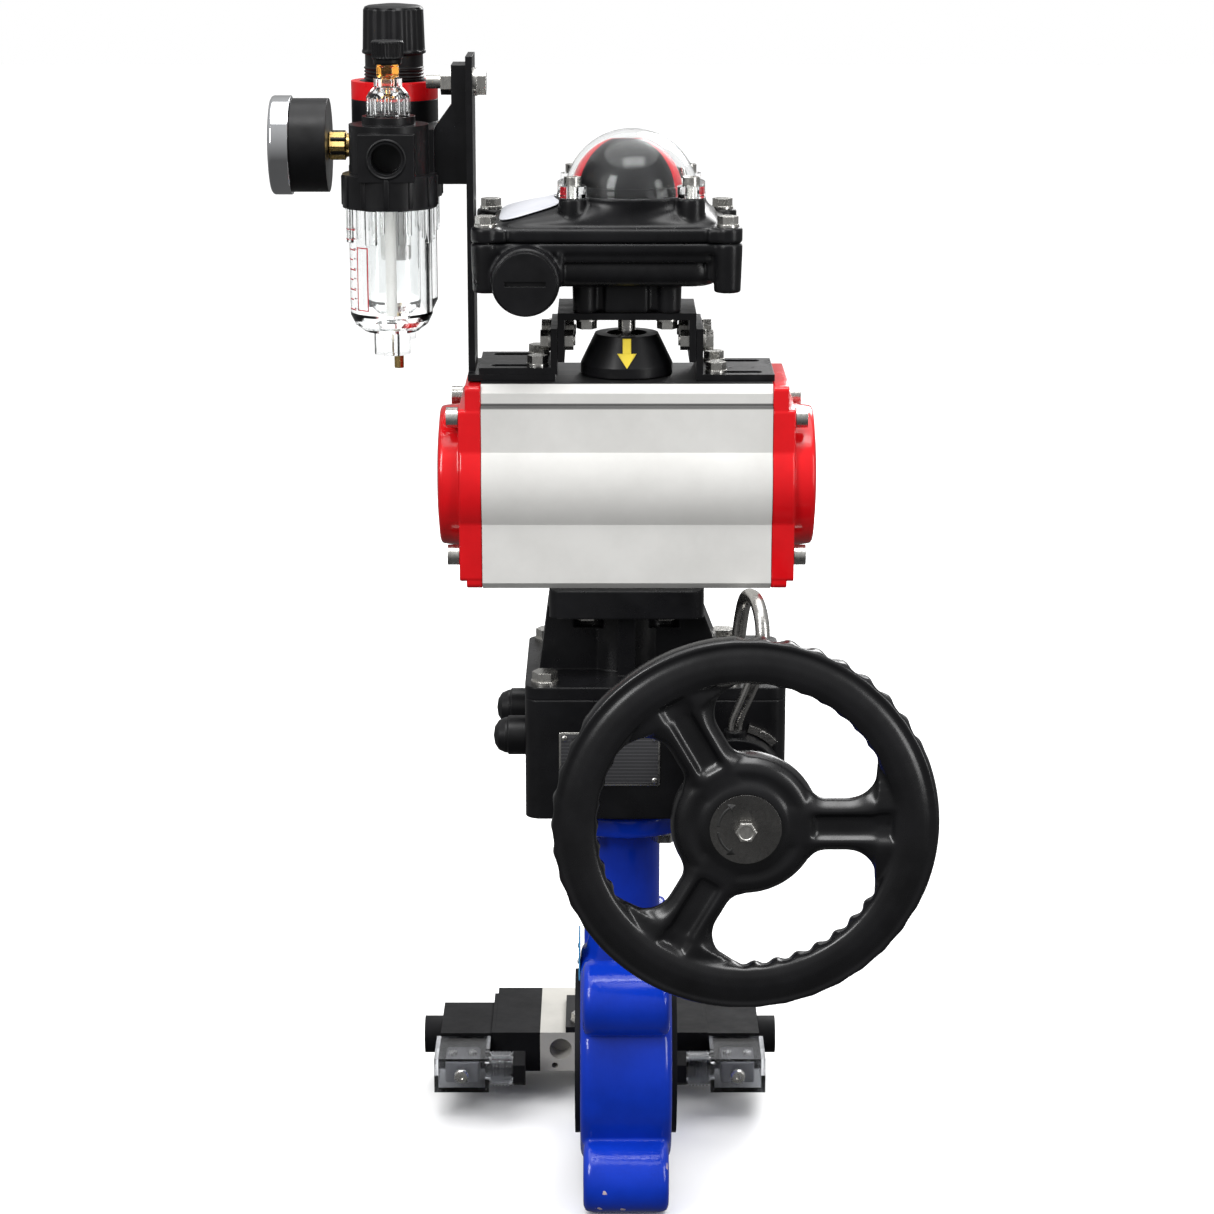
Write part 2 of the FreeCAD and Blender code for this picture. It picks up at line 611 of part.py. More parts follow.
# ---- handwheel --------------------------------------------------------------------------
def handwheel():
    """Cast wheel: dished hub, three tapered spokes and a hollow-backed rim."""
    front = HANDWHEEL_Y - RIM_DEPTH / 2
    inner = HANDWHEEL_R - RIM_WIDTH
    rim = turned([(inner, 3), (inner + 3, 0.6), (inner + 9, 0), (HANDWHEEL_R - 5, 1.2), (HANDWHEEL_R - 1, 4.5),
                  (HANDWHEEL_R, 8), (HANDWHEEL_R - 0.6, RIM_DEPTH - 2), (HANDWHEEL_R - 3, RIM_DEPTH),
                  (HANDWHEEL_R - 7, RIM_DEPTH - 1.5), (HANDWHEEL_R - 8, 7), (inner + 4, 6.5), (inner, 6)],
                 V(WORM_X, front, WHEEL_Z), Y)
    hub_front = HANDWHEEL_Y - HUB_DEPTH / 2 + 3
    hub = turned([(0, 0), (HUB_PLATE_R + 3, 0), (HUB_R - 6, 1.5), (HUB_R, 5), (HUB_R, 9), (HUB_R - 8, 11),
                  (JOURNAL_R + 8, HUB_DEPTH - 2), (0, HUB_DEPTH - 2)], V(WORM_X, hub_front, WHEEL_Z), Y)
    spokes = []
    for i in range(SPOKE_COUNT):
        reach = inner + 4
        outline = [V(15, front + 3, -SPOKE_WIDTH / 2 - 1), V(HUB_R + 12, front + 3, -SPOKE_WIDTH / 2 + 4),
                   V(inner - 8, front + 3, -SPOKE_WIDTH / 2 + 3), V(reach, front + 3, -SPOKE_WIDTH / 2 - 7),
                   V(reach, front + 3, SPOKE_WIDTH / 2 + 7), V(inner - 8, front + 3, SPOKE_WIDTH / 2 - 3),
                   V(HUB_R + 12, front + 3, SPOKE_WIDTH / 2 - 4), V(15, front + 3, SPOKE_WIDTH / 2 + 1)]
        spoke = prism(outline, Y * 5)
        spoke.rotate(V(0, 0, 0), Y, -360.0 / SPOKE_COUNT * i)
        spoke.translate(V(WORM_X, 0, WHEEL_Z))
        spokes.append(spoke)
    wheel = fused([rim, hub] + spokes)
    bore = rod(V(WORM_X, HANDWHEEL_Y - HUB_DEPTH / 2 + 3.9, WHEEL_Z), Y, JOURNAL_R + 0.1, HUB_DEPTH)
    bolt = rod(V(WORM_X, HANDWHEEL_Y - HUB_DEPTH, WHEEL_Z), Y, 3.0 + SLIP, HUB_DEPTH)
    return cut_all(wheel, [bore, bolt])


def hub_plate():
    base = V(WORM_X, HANDWHEEL_Y - HUB_DEPTH / 2 + 3, WHEEL_Z)
    return tube(base, Y * -1, HUB_PLATE_R, 3.0 + SLIP, HUB_PLATE_T)


def hub_bolt():
    seat = V(WORM_X, HANDWHEEL_Y - HUB_DEPTH / 2 + 3 - HUB_PLATE_T, WHEEL_Z)
    return hex_bolt(seat, Y, 3.0, 16, M6_AF, M6_HEAD, 1.0)


# ---- actuator ---------------------------------------------------------------------------
PITCH_R = RACK_MODULE * PINION_TEETH / 2
CAP_SCREWS = [(sy * CAP_SCREW_Y, CYL_Z + sz * CAP_SCREW_Z) for sy in (-1, 1) for sz in (-1, 1)]


def body_profile(x):
    """Extrusion profile: flat sides, a barrel at the cylinder and a stepped top ledge."""
    rise = math.sqrt(BARREL_R ** 2 - BODY_HALF_Y ** 2)
    low = PEDESTAL_TOP_Z
    right = [V(x, BODY_HALF_Y - 3, low), V(x, BODY_HALF_Y, low + 3), V(x, BODY_HALF_Y, CYL_Z - rise)]
    upper = [V(x, BODY_HALF_Y, CYL_Z + rise), V(x, BODY_HALF_Y, BODY_TOP_Z - 10),
             V(x, BODY_HALF_Y - 1.4, BODY_TOP_Z - 9.4), V(x, BODY_HALF_Y - 1.4, BODY_TOP_Z - 4),
             V(x, BODY_HALF_Y - 5, BODY_TOP_Z)]
    mirror = [V(p.x, -p.y, p.z) for p in reversed(upper)]
    mirror_low = [V(p.x, -p.y, p.z) for p in reversed(right)]
    edges = []
    for run in (right, upper + mirror, mirror_low):
        edges += [Part.LineSegment(a, b).toShape() for a, b in zip(run, run[1:])]
    edges.append(Part.Arc(right[-1], V(x, BARREL_R, CYL_Z), upper[0]).toShape())
    edges.append(Part.Arc(mirror[-1], V(x, -BARREL_R, CYL_Z), mirror_low[0]).toShape())
    edges.append(Part.LineSegment(mirror_low[-1], right[0]).toShape())
    return Part.Face(Part.Wire(Part.__sortEdges__(edges)))


def actuator_body():
    body = body_profile(-BODY_HALF_X).extrude(X * 2 * BODY_HALF_X)
    holes = [rod(V(-BODY_HALF_X - 1, 0, CYL_Z), X, CYL_R, 2 * BODY_HALF_X + 2)]
    holes.append(rod(V(0, 0, PEDESTAL_TOP_Z - 1), Z, PINION_JOURNAL_R + 0.4, BODY_TOP_Z - PEDESTAL_TOP_Z + 2))
    for z in (PEDESTAL_TOP_Z + 2, BODY_TOP_Z - 12):
        holes.append(rod(V(0, 0, z), Z, PINION_BUSH_R + 0.1, 10))
    for y, z in CAP_SCREWS:
        for side in (-1, 1):
            holes.append(rod(V(side * (BODY_HALF_X + 1), y, z), X * -side, M5_R + SLIP, 15))
    for x, y in top_bolt_points():
        holes.append(rod(V(x, y, PEDESTAL_TOP_Z - 1), Z, M6_R + SLIP, 11))
    for sx in (-1, 1):
        for sy in (-1, 1):
            holes.append(rod(V(sx * NAMUR_X, sy * NAMUR_Y, BODY_TOP_Z - 11), Z, M5_R + SLIP, 12))
    for x in (-12, 12):
        holes.append(rod(V(x, BARREL_R + 1, CYL_Z), Y * -1, PORT_R - 1, 4.5 if x < 0 else 12))
    return cut_all(body, holes)


def end_cap(side):
    """Die-cast cap: stepped plate, round boss with a domed face and four screw pads."""
    x = side * BODY_HALF_X
    out = X * side
    low = PEDESTAL_TOP_Z + 0.5
    high = BODY_TOP_Z - 0.5
    plate = box(min(x, x + side * CAP_T), max(x, x + side * CAP_T), -BODY_HALF_Y + 0.5, BODY_HALF_Y - 0.5, low, high)
    middle = rod(V(x, 0, CYL_Z), out, BARREL_R - 0.5, CAP_T)
    boss = turned([(0, 0), (CAP_BOSS_R, 0), (CAP_BOSS_R, CAP_BOSS_H - 4), (CAP_BOSS_R - 2, CAP_BOSS_H - 1.5),
                   (CAP_BOSS_R - 7, CAP_BOSS_H - 0.4), (0, CAP_BOSS_H)], V(x + side * CAP_T, 0, CYL_Z), out)
    pads = [rod(V(x + side * (CAP_T - 1), y, z), out, 7, 2.5) for y, z in CAP_SCREWS]
    cap = fused([plate, middle, boss] + pads)
    holes = [rod(V(x + side * -1, 0, CYL_Z), out, CAP_BOSS_R - 5, CAP_T + CAP_BOSS_H - 5)]
    holes += [rod(V(x - side, y, z), out, M5_R + SLIP, 20) for y, z in CAP_SCREWS]
    return cut_all(cap, holes)


def end_cap_screws():
    screws = []
    for side in (-1, 1):
        for y, z in CAP_SCREWS:
            seat = V(side * (BODY_HALF_X + CAP_T + 1.5), y, z)
            screws.append(socket_screw(seat, X * -side, M5_R, CAP_T + 12, 4.6, 5.2))
    return screws


def involute_tooth(degrees):
    """One pinion tooth as points, from the root up one flank and down the other."""
    base_r = PITCH_R * math.cos(math.radians(20))
    tip_r = PITCH_R + RACK_MODULE
    root_r = PITCH_R - 1.25 * RACK_MODULE
    half = math.pi / (2 * PINION_TEETH) - RACK_BACKLASH / (2 * PITCH_R)
    roll = math.tan(math.radians(20)) - math.radians(20)
    flank = [(root_r, half + roll), (base_r, half + roll)]
    for i in range(1, 7):
        r = base_r + (tip_r - base_r) * i / 6
        spread = math.acos(base_r / r)
        flank.append((r, half + roll - (math.tan(spread) - spread)))
    centre = math.radians(degrees)
    left = [(r, centre - a) for r, a in flank]
    right = [(r, centre + a) for r, a in reversed(flank)]
    return [V(r * math.cos(a), r * math.sin(a), 0) for r, a in left + right]


def pinion():
    """Pinion shaft: square socket below, teeth at the cylinder, slotted top."""
    points = []
    for i in range(PINION_TEETH):
        points += involute_tooth(90 + 360.0 / PINION_TEETH * i)
    gear = prism(points, Z * (2 * RACK_HALF_Z + 3))
    gear.translate(V(0, 0, CYL_Z - RACK_HALF_Z - 1.5))
    low = rod(V(0, 0, PEDESTAL_TOP_Z + GAP), Z, PINION_JOURNAL_R, CYL_Z - RACK_HALF_Z - 2 - PEDESTAL_TOP_Z - GAP)
    waist = rod(V(0, 0, PEDESTAL_TOP_Z + 10), Z, PITCH_R - 1.25 * RACK_MODULE, 70)
    high = rod(V(0, 0, CYL_Z + RACK_HALF_Z + 2), Z, PINION_JOURNAL_R, BODY_TOP_Z - CYL_Z - RACK_HALF_Z - 2 + 0.5)
    top = rod(V(0, 0, BODY_TOP_Z - 1), Z, PINION_TOP_R, BEACON_H - 1)
    shaft = fused([gear, low, waist, high, top])
    socket = square_bar(V(0, 0, 0), PINION_SQUARE + 0.1, PEDESTAL_TOP_Z - 1, PINION_SOCKET_TOP)
    slot = box(-SLOT_W / 2, SLOT_W / 2, -20, 20, BODY_TOP_Z + BEACON_H - 11, BODY_TOP_Z + BEACON_H + 5)
    return cut_all(shaft, [socket, slot])


def rack_bar(side):
    """Toothed bar of one piston. side is +1 for the piston at +X, whose bar runs at -Y."""
    pitch = math.pi * RACK_MODULE
    lean = math.tan(math.radians(20))
    root = PITCH_R + 1.25 * RACK_MODULE
    tip = PITCH_R - RACK_MODULE + 0.05
    half_tip = pitch / 4 - RACK_MODULE * lean - RACK_BACKLASH / 2
    half_root = pitch / 4 + 1.25 * RACK_MODULE * lean - RACK_BACKLASH / 2
    low = CYL_Z - RACK_HALF_Z
    bar = box(-PISTON_INNER_X + 2, PISTON_INNER_X + 1, root, root + 8, low, low + 2 * RACK_HALF_Z)
    teeth = []
    count = int((PISTON_INNER_X - 6) / pitch)
    for i in range(-count, count + 1):
        x = (i + 0.5) * pitch
        outline = [V(x - half_root, root, low), V(x - half_tip, tip, low),
                   V(x + half_tip, tip, low), V(x + half_root, root, low)]
        shifted = [V(p.x, p.y + (0.5 if p.y == root else 0), p.z) for p in outline]
        teeth.append(prism(shifted, Z * 2 * RACK_HALF_Z))
    bar = fused([bar] + teeth)
    if side > 0:
        bar.rotate(V(0, 0, 0), X, 180)
        bar.translate(V(0, 0, 2 * CYL_Z))
        return bar
    bar.rotate(V(0, 0, 0), Z, 180)
    bar.rotate(V(0, 0, 0), X, 180)
    bar.translate(V(0, 0, 2 * CYL_Z))
    return bar


def piston(side):
    head = rod(V(side * PISTON_INNER_X, 0, CYL_Z), X * side, CYL_R - RUN, PISTON_T)
    groove = tube(V(side * (PISTON_INNER_X + 5), 0, CYL_Z), X * side, CYL_R + 1, CYL_R - 2.5, 3.5)
    dish = rod(V(side * (PISTON_INNER_X + 6), 0, CYL_Z), X * side, 20, PISTON_T)
    return fused([head.cut(groove).cut(dish), rack_bar(side)])


def position_beacon():
    base = V(0, 0, BODY_TOP_Z + 0.6)
    cone = turned([(PINION_TOP_R + 0.1, 0), (BEACON_R, 0), (BEACON_R, 4.5), (BEACON_TOP_R, BEACON_H - 0.6),
                   (PINION_TOP_R + 0.1, BEACON_H - 0.6)], base, Z)
    return cone


# ---- switch box and its bracket ---------------------------------------------------------
M5_R = 2.5
M5_AF = 8.0
M5_HEAD = 3.5
BRIDGE_LOW_Z = 338.0
BOX_FOOT_HALF_X = 27.0
BOX_FOOT_HALF_Y = 24.0
FOOT_BOLT_X = 18.0
FOOT_BOLT_Y = 15.0
SWITCH_BOLTS = [(-62.0, -33.0), (-62.0, 33.0), (44.0, -33.0), (44.0, 33.0)]
DOME_SCREWS = [(DOME_X + sx * 26.0, sy * 26.0) for sx in (-1, 1) for sy in (-1, 1)]


def slot_tool(x0, x1, y, z, radius, depth):
    ends = [rod(V(x0, y, z), Z, radius, depth), rod(V(x1, y, z), Z, radius, depth)]
    return ends + [box(x0, x1, y - radius, y + radius, z, z + depth)]


def bracket_foot(side):
    """Angle foot: a slotted plate on the actuator and a tab up the side of the bridge."""
    base = BODY_TOP_Z + (PLATE_T if side < 0 else 0)
    inner = side * FOOT_IN_X
    outer = side * FOOT_OUT_X
    lo = min(inner, outer)
    hi = max(inner, outer)
    plate = box(lo, hi, -BRACKET_HALF_Y, BRACKET_HALF_Y, base, base + PLATE_T)
    wall_out = inner + side * PLATE_T
    wall = box(min(inner, wall_out), max(inner, wall_out), -BRACKET_HALF_Y, BRACKET_HALF_Y, base, SIDE_BOLT_Z + 6)
    foot = plate.fuse(wall)
    tools = []
    for y in (-NAMUR_Y, NAMUR_Y):
        ends = sorted((side * (NAMUR_X - 1), side * (NAMUR_X + 18)))
        tools += slot_tool(ends[0], ends[1], y, base - 1, M5_R + 0.3, PLATE_T + 2)
        tools.append(rod(V(inner - side * 2, y, SIDE_BOLT_Z), X * side, M5_R + SLIP, PLATE_T + 4))
    return cut_all(foot, tools).removeSplitter()


def bracket_bridge():
    """Bent strip that carries the switch box across the two feet."""
    half = FOOT_IN_X - SLIP
    top = box(-half, half, -BRACKET_HALF_Y, BRACKET_HALF_Y, BRIDGE_TOP_Z - PLATE_T, BRIDGE_TOP_Z)
    legs = [box(-half, -half + PLATE_T, -BRACKET_HALF_Y, BRACKET_HALF_Y, BRIDGE_LOW_Z, BRIDGE_TOP_Z),
            box(half - PLATE_T, half, -BRACKET_HALF_Y, BRACKET_HALF_Y, BRIDGE_LOW_Z, BRIDGE_TOP_Z)]
    tools = [rod(V(0, 0, BRIDGE_TOP_Z - 10), Z, 9, 20)]
    for y in (-NAMUR_Y, NAMUR_Y):
        tools.append(rod(V(-half - 1, y, SIDE_BOLT_Z), X, M5_R + SLIP, 2 * half + 2))
    for x in (-FOOT_BOLT_X, FOOT_BOLT_X):
        for y in (-FOOT_BOLT_Y, FOOT_BOLT_Y):
            tools.append(rod(V(x, y, BRIDGE_TOP_Z - 10), Z, M5_R + SLIP, 20))
    return cut_all(fused([top] + legs), tools)


def bracket_bolts():
    """Bolts of the feet, the bridge and the switch box, and the bolt and nut of the air unit."""
    bolts = []
    for side in (-1, 1):
        top = BODY_TOP_Z + PLATE_T * (2 if side < 0 else 1)
        for y in (-NAMUR_Y, NAMUR_Y):
            bolts.append(hex_bolt(V(side * NAMUR_X, y, top), Z * -1, M5_R, 12, M5_AF, M5_HEAD, 1.2))
            seat = V(side * (FOOT_IN_X + PLATE_T), y, SIDE_BOLT_Z)
            bolts.append(hex_bolt(seat, X * -side, M5_R, 2 * PLATE_T + 5, M5_AF, M5_HEAD, 1.2))
            nut_base = V(side * (FOOT_IN_X - SLIP - PLATE_T), y, SIDE_BOLT_Z)
            nut = hex_bar(nut_base, X * -side, M5_AF, 4)
            bolts.append(nut.cut(rod(nut_base + X * side, X * -side, M5_R + SLIP, 8)))
    for x in (-FOOT_BOLT_X, FOOT_BOLT_X):
        for y in (-FOOT_BOLT_Y, FOOT_BOLT_Y):
            bolts.append(hex_bolt(V(x, y, BRIDGE_TOP_Z - PLATE_T), Z, M5_R, PLATE_T + 9, M5_AF, M5_HEAD, 1.2))
    head = V(ARM_X + PLATE_T, 0, FRL_BOLT_Z)
    bolts.append(hex_bolt(head, X * -1, M6_R, 21, M6_AF, M6_HEAD, 1.6))
    nut_base = V(MOUNT_X, 0, FRL_BOLT_Z)
    nut = hex_bar(nut_base, X * -1, M6_AF, 5)
    bolts.append(nut.cut(rod(nut_base + X, X * -1, M6_R + SLIP, 8)))
    return bolts


def corner_ears(z0, z1, radius):
    return [rod(V(x, y, z0), Z, radius, z1 - z0) for x, y in SWITCH_BOLTS]


def switch_box_base():
    tray = rounded_plate(SWITCH_LEFT, SWITCH_RIGHT, -SWITCH_HALF_Y, SWITCH_HALF_Y, SWITCH_FLOOR_Z,
                         SEAM_Z - SWITCH_FLOOR_Z, 8)
    foot = rounded_plate(-BOX_FOOT_HALF_X, BOX_FOOT_HALF_X, -BOX_FOOT_HALF_Y, BOX_FOOT_HALF_Y, BRIDGE_TOP_Z,
                         SWITCH_FLOOR_Z - BRIDGE_TOP_Z + 1, 5)
    entry = rod(V(PLUG_X, -SWITCH_HALF_Y - 9, PLUG_Z), Y, PLUG_R + 1.4, 20)
    ears = corner_ears(SWITCH_FLOOR_Z, SEAM_Z, 6.5)
    base = fused([tray, foot, entry] + ears)
    hollow = rounded_plate(SWITCH_LEFT + 3.5, SWITCH_RIGHT - 3.5, -SWITCH_HALF_Y + 3.5, SWITCH_HALF_Y - 3.5,
                           SWITCH_FLOOR_Z + 4, 40, 5)
    keep = fused(corner_ears(SWITCH_FLOOR_Z, SEAM_Z, 6.5))
    tools = [hollow.cut(keep), rod(V(0, 0, BRIDGE_TOP_Z - 1), Z, SWITCH_SHAFT_R + RUN, 20)]
    tools.append(rod(V(PLUG_X, -SWITCH_HALF_Y - 10, PLUG_Z + 2), Y, 9, 16))
    for x, y in SWITCH_BOLTS:
        tools.append(rod(V(x, y, SEAM_Z - 12), Z, M5_R + SLIP, 13))
    for x in (-FOOT_BOLT_X, FOOT_BOLT_X):
        for y in (-FOOT_BOLT_Y, FOOT_BOLT_Y):
            tools.append(rod(V(x, y, BRIDGE_TOP_Z - 1), Z, M5_R + SLIP, 11))
    return cut_all(base, tools)


def lid_frustum(inset, z0, z1, top_half):
    """Ruled body between the lid's rectangle and the round-cornered square under the dome."""
    x0 = SWITCH_LEFT + inset
    x1 = SWITCH_RIGHT - inset
    y1 = SWITCH_HALF_Y - inset
    low = Part.makePolygon([V(x0, -y1, z0), V(x1, -y1, z0), V(x1, y1, z0), V(x0, y1, z0), V(x0, -y1, z0)])
    a = DOME_X - top_half
    b = DOME_X + top_half
    high = Part.makePolygon([V(a, -top_half, z1), V(b, -top_half, z1), V(b, top_half, z1), V(a, top_half, z1),
                             V(a, -top_half, z1)])
    return Part.makeLoft([low, high], True, True)


def switch_box_lid():
    rim = rounded_plate(SWITCH_LEFT, SWITCH_RIGHT, -SWITCH_HALF_Y, SWITCH_HALF_Y, SEAM_Z, LID_EDGE_Z - SEAM_Z, 8)
    slope = lid_frustum(6, LID_EDGE_Z - 0.5, LID_TOP_Z - 2, DOME_R + 1)
    top = rod(V(DOME_X, 0, LID_EDGE_Z - 1), Z, DOME_R + 3, LID_TOP_Z - LID_EDGE_Z + 1)
    posts = [rod(V(x, y, LID_EDGE_Z), Z, 6, LID_TOP_Z - LID_EDGE_Z) for x, y in DOME_SCREWS]
    lid = fused([rim, slope, top] + corner_ears(SEAM_Z, LID_EDGE_Z + 1, 6.5) + posts)
    hollow = rounded_plate(SWITCH_LEFT + 3.5, SWITCH_RIGHT - 3.5, -SWITCH_HALF_Y + 3.5, SWITCH_HALF_Y - 3.5,
                           SEAM_Z - 1, LID_EDGE_Z - SEAM_Z - 2, 5)
    keep = fused(corner_ears(SEAM_Z - 1, LID_EDGE_Z, 6.5))
    tools = [hollow.cut(keep), lid_frustum(10, LID_EDGE_Z - 3.2, LID_TOP_Z - 4.5, DOME_R - 5)]
    tools.append(rod(V(DOME_X, 0, LID_EDGE_Z - 6), Z, DOME_R - DOME_WALL - 0.5, 30))
    for x, y in SWITCH_BOLTS:
        tools.append(rod(V(x, y, SEAM_Z - 1), Z, M5_R + SLIP, 10))
    for x, y in DOME_SCREWS:
        tools.append(rod(V(x, y, LID_TOP_Z - 8), Z, 2 + SLIP, 9))
    return cut_all(lid, tools)


def lid_bolts():
    return [hex_bolt(V(x, y, LID_EDGE_Z + 1), Z * -1, M5_R, 17, M5_AF, M5_HEAD, 1.2) for x, y in SWITCH_BOLTS]


def indicator_dome():
    """Clear dome with a round flange and four eared corners."""
    centre = V(DOME_X, 0, LID_TOP_Z)
    ball = (DOME_R ** 2 + DOME_H ** 2) / (2 * DOME_H)
    sunk = centre + Z * (DOME_H - ball)
    outer = Part.makeSphere(ball, sunk, Z, 0, 90, 360).common(rod(centre, Z, DOME_R + 3, DOME_H + 1))
    flange = rod(centre, Z, DOME_R + 3, 4)
    ears = [rod(V(x, y, LID_TOP_Z), Z, 6, 5) for x, y in DOME_SCREWS]
    shape = fused([outer, flange] + ears)
    inner = Part.makeSphere(ball - DOME_WALL, sunk, Z, -90, 90, 360)
    tools = [inner]
    for x, y in DOME_SCREWS:
        tools.append(rod(V(x, y, LID_TOP_Z - 1), Z, 2 + SLIP, 10))
    return cut_all(shape, tools)


def dome_screws():
    return [socket_screw(V(x, y, LID_TOP_Z + 5), Z * -1, 2, 12, 3.8, 4) for x, y in DOME_SCREWS]


def indicator_drum():
    """Domed drum on the switch shaft, seen through the clear dome."""
    centre = V(0, 0, LID_TOP_Z - 1)
    drum = Part.makeSphere(DRUM_R, centre, Z, 0, 90, 360)
    flat = drum.common(rod(centre, Z, DRUM_R + 1, 24))
    return flat.cut(rod(centre - Z, Z, SWITCH_SHAFT_R + 0.1, 8))


def switch_shaft():
    """Shaft from the pinion slot to the drum, with its two switch cams."""
    tongue = box(-SLOT_W / 2 + 0.1, SLOT_W / 2 - 0.1, -SWITCH_SHAFT_R + 0.4, SWITCH_SHAFT_R - 0.4,
                 BODY_TOP_Z + BEACON_H - 9, BODY_TOP_Z + BEACON_H + 2)
    shaft = rod(V(0, 0, BODY_TOP_Z + BEACON_H + 1), Z, SWITCH_SHAFT_R, LID_TOP_Z + 5 - BODY_TOP_Z - BEACON_H - 1)
    cams = []
    for i in range(2):
        z = SWITCH_FLOOR_Z + 8 + 9 * i
        cams.append(rod(V(0, 0, z), Z, 11, 6))
        cams.append(box(0, 13, -3, 3, z, z + 6) if i == 0 else box(-3, 3, -13, 0, z, z + 6))
    return fused([tongue, shaft] + cams)


def limit_switches():
    """Two micro switches on a carrier beside the cams, and a terminal strip."""
    floor = SWITCH_FLOOR_Z + 4
    tower = box(-34, -16, -12, 12, floor, floor + 3)
    switches = [box(-33, -15.5, -11, 11, floor + 3 + 9 * i, floor + 10 + 9 * i) for i in range(2)]
    strip = box(-52, -40, -26, 26, floor, floor + 12)
    return [tower.fuse(switches[0]).removeSplitter(), switches[1].fuse(box(-33, -24, -5, 5, floor + 10.1, floor + 13)), strip]


def conduit_plug():
    """Blanking plug of the cable entry, with a screwdriver slot."""
    face = V(PLUG_X, -SWITCH_HALF_Y - 9, PLUG_Z)
    plug = rod(face, Y * -1, PLUG_R, 4)
    plug = plug.fuse(rod(face + Z * 2 - Y * 0.5, Y, 8.8, 9))
    return plug.cut(box(PLUG_X - 9, PLUG_X + 9, face.y - 5, face.y - 2.5, PLUG_Z - 1, PLUG_Z + 1))


# ---- filter, regulator and lubricator ---------------------------------------------------
MOUNT_X = ARM_X - 6.5
KNOB_Z = BODY_TOP + LOCK_H + 0.6
SCREW_R = 4.0


def frl_arm():
    """Steel strip: an upright with a slotted foot that lies under the left bracket foot."""
    upright = box(ARM_X, ARM_X + PLATE_T, -ARM_HALF_Y, ARM_HALF_Y, BODY_TOP_Z, ARM_TOP_Z)
    foot = box(ARM_X, -FOOT_IN_X - 1, -BRACKET_HALF_Y, BRACKET_HALF_Y, BODY_TOP_Z, BODY_TOP_Z + PLATE_T)
    tools = [rod(V(ARM_X - 1, 0, FRL_BOLT_Z), X, M6_R + SLIP, PLATE_T + 2)]
    for y in (-NAMUR_Y, NAMUR_Y):
        tools += slot_tool(-NAMUR_X - 8, -NAMUR_X + 1, y, BODY_TOP_Z - 1, M5_R + 0.3, PLATE_T + 2)
    return cut_all(upright.fuse(foot).removeSplitter(), tools)


def frl_mount():
    """Gusset bracket between the air unit and the strip."""
    left = FRL_X + UNIT_R + 0.2
    outline = [V(left, -11, 416), V(left, -11, 441), V(MOUNT_X, -11, 451), V(MOUNT_X, -11, 468),
               V(ARM_X, -11, 468), V(ARM_X, -11, 416)]
    plate = prism(outline, Y * 22)
    return plate.cut(rod(V(MOUNT_X - 1, 0, FRL_BOLT_Z), X, M6_R + SLIP, 9))


def unit_casting(y, side):
    """Round collar for the bowl and the block above it."""
    collar = rod(V(FRL_X, y, COLLAR_Z), Z, COLLAR_R, COLLAR_H)
    neck = rod(V(FRL_X, y, COLLAR_Z + COLLAR_H - 1), Z, UNIT_R - 2, PORT_Z - COLLAR_Z)
    block = box(FRL_X - 12.2, FRL_X + 12.2, min(y, y + side * 20.8), max(y, y + side * 20.8), PORT_Z - 10, PORT_Z + 10.5)
    link = box(FRL_X - 13, FRL_X + 13, min(y, y - side * (UNIT_Y - 0.1)), max(y, y - side * (UNIT_Y - 0.1)),
               PORT_Z - 11, PORT_Z + 12)
    pad = box(FRL_X + 10, FRL_X + UNIT_R + 0.2, min(y, y - side * (UNIT_Y - 0.1)), max(y, y - side * (UNIT_Y - 0.1)),
              416, 441)
    return [collar, neck, block, link, pad]


def bowl_pocket(y):
    return rod(V(FRL_X, y, COLLAR_Z - 1), Z, BOWL_R + 0.2, COLLAR_H - 2)


def regulator_body():
    y = UNIT_Y
    bonnet = rod(V(FRL_X, y, PORT_Z + 4), Z, UNIT_R, BODY_TOP - PORT_Z - 4)
    spigot = rod(V(FRL_X, y, BODY_TOP - 1), Z, UNIT_R - 4, LOCK_H + 1)
    body = fused(unit_casting(y, 1) + [bonnet, spigot])
    keep_y = box(FRL_X - 40, FRL_X + 40, 0.05, 80, 390, 480)
    body = body.common(keep_y)
    tools = [bowl_pocket(y), rod(V(FRL_X, y, BODY_TOP - 14), Z, SCREW_R + RUN, 40)]
    tools.append(rod(V(FRL_X, y + 21, PORT_Z), Y * -1, PORT_R, 12))
    tools.append(rod(V(FRL_X - UNIT_R - 1, y, PORT_Z), X, 4.9 + SLIP, 10))
    return cut_all(body, tools)


def lubricator_body():
    y = -UNIT_Y
    ring = rod(V(FRL_X, y, PORT_Z + 8), Z, SIGHT_R + 2, 9)
    body = fused(unit_casting(y, -1) + [ring])
    body = body.common(box(FRL_X - 40, FRL_X + 40, -80, -0.05, 390, 480))
    tools = [bowl_pocket(y), rod(V(FRL_X, y - 21, PORT_Z), Y, PORT_R, 12)]
    tools.append(rod(V(FRL_X, y, PORT_Z + 10), Z, SIGHT_R + SLIP, 20))
    return cut_all(body, tools)


def lock_ring():
    return tube(V(FRL_X, UNIT_Y, BODY_TOP), Z, UNIT_R, UNIT_R - 4 + SLIP, LOCK_H)


def adjusting_screw():
    """Spring screw of the regulator, with the splined head that the knob turns."""
    stem = rod(V(FRL_X, UNIT_Y, BODY_TOP - 13), Z, SCREW_R, KNOB_Z + 16 - BODY_TOP + 13)
    head = hex_bar(V(FRL_X, UNIT_Y, KNOB_Z + 5), Z, 12, 10)
    return fused([stem, head])


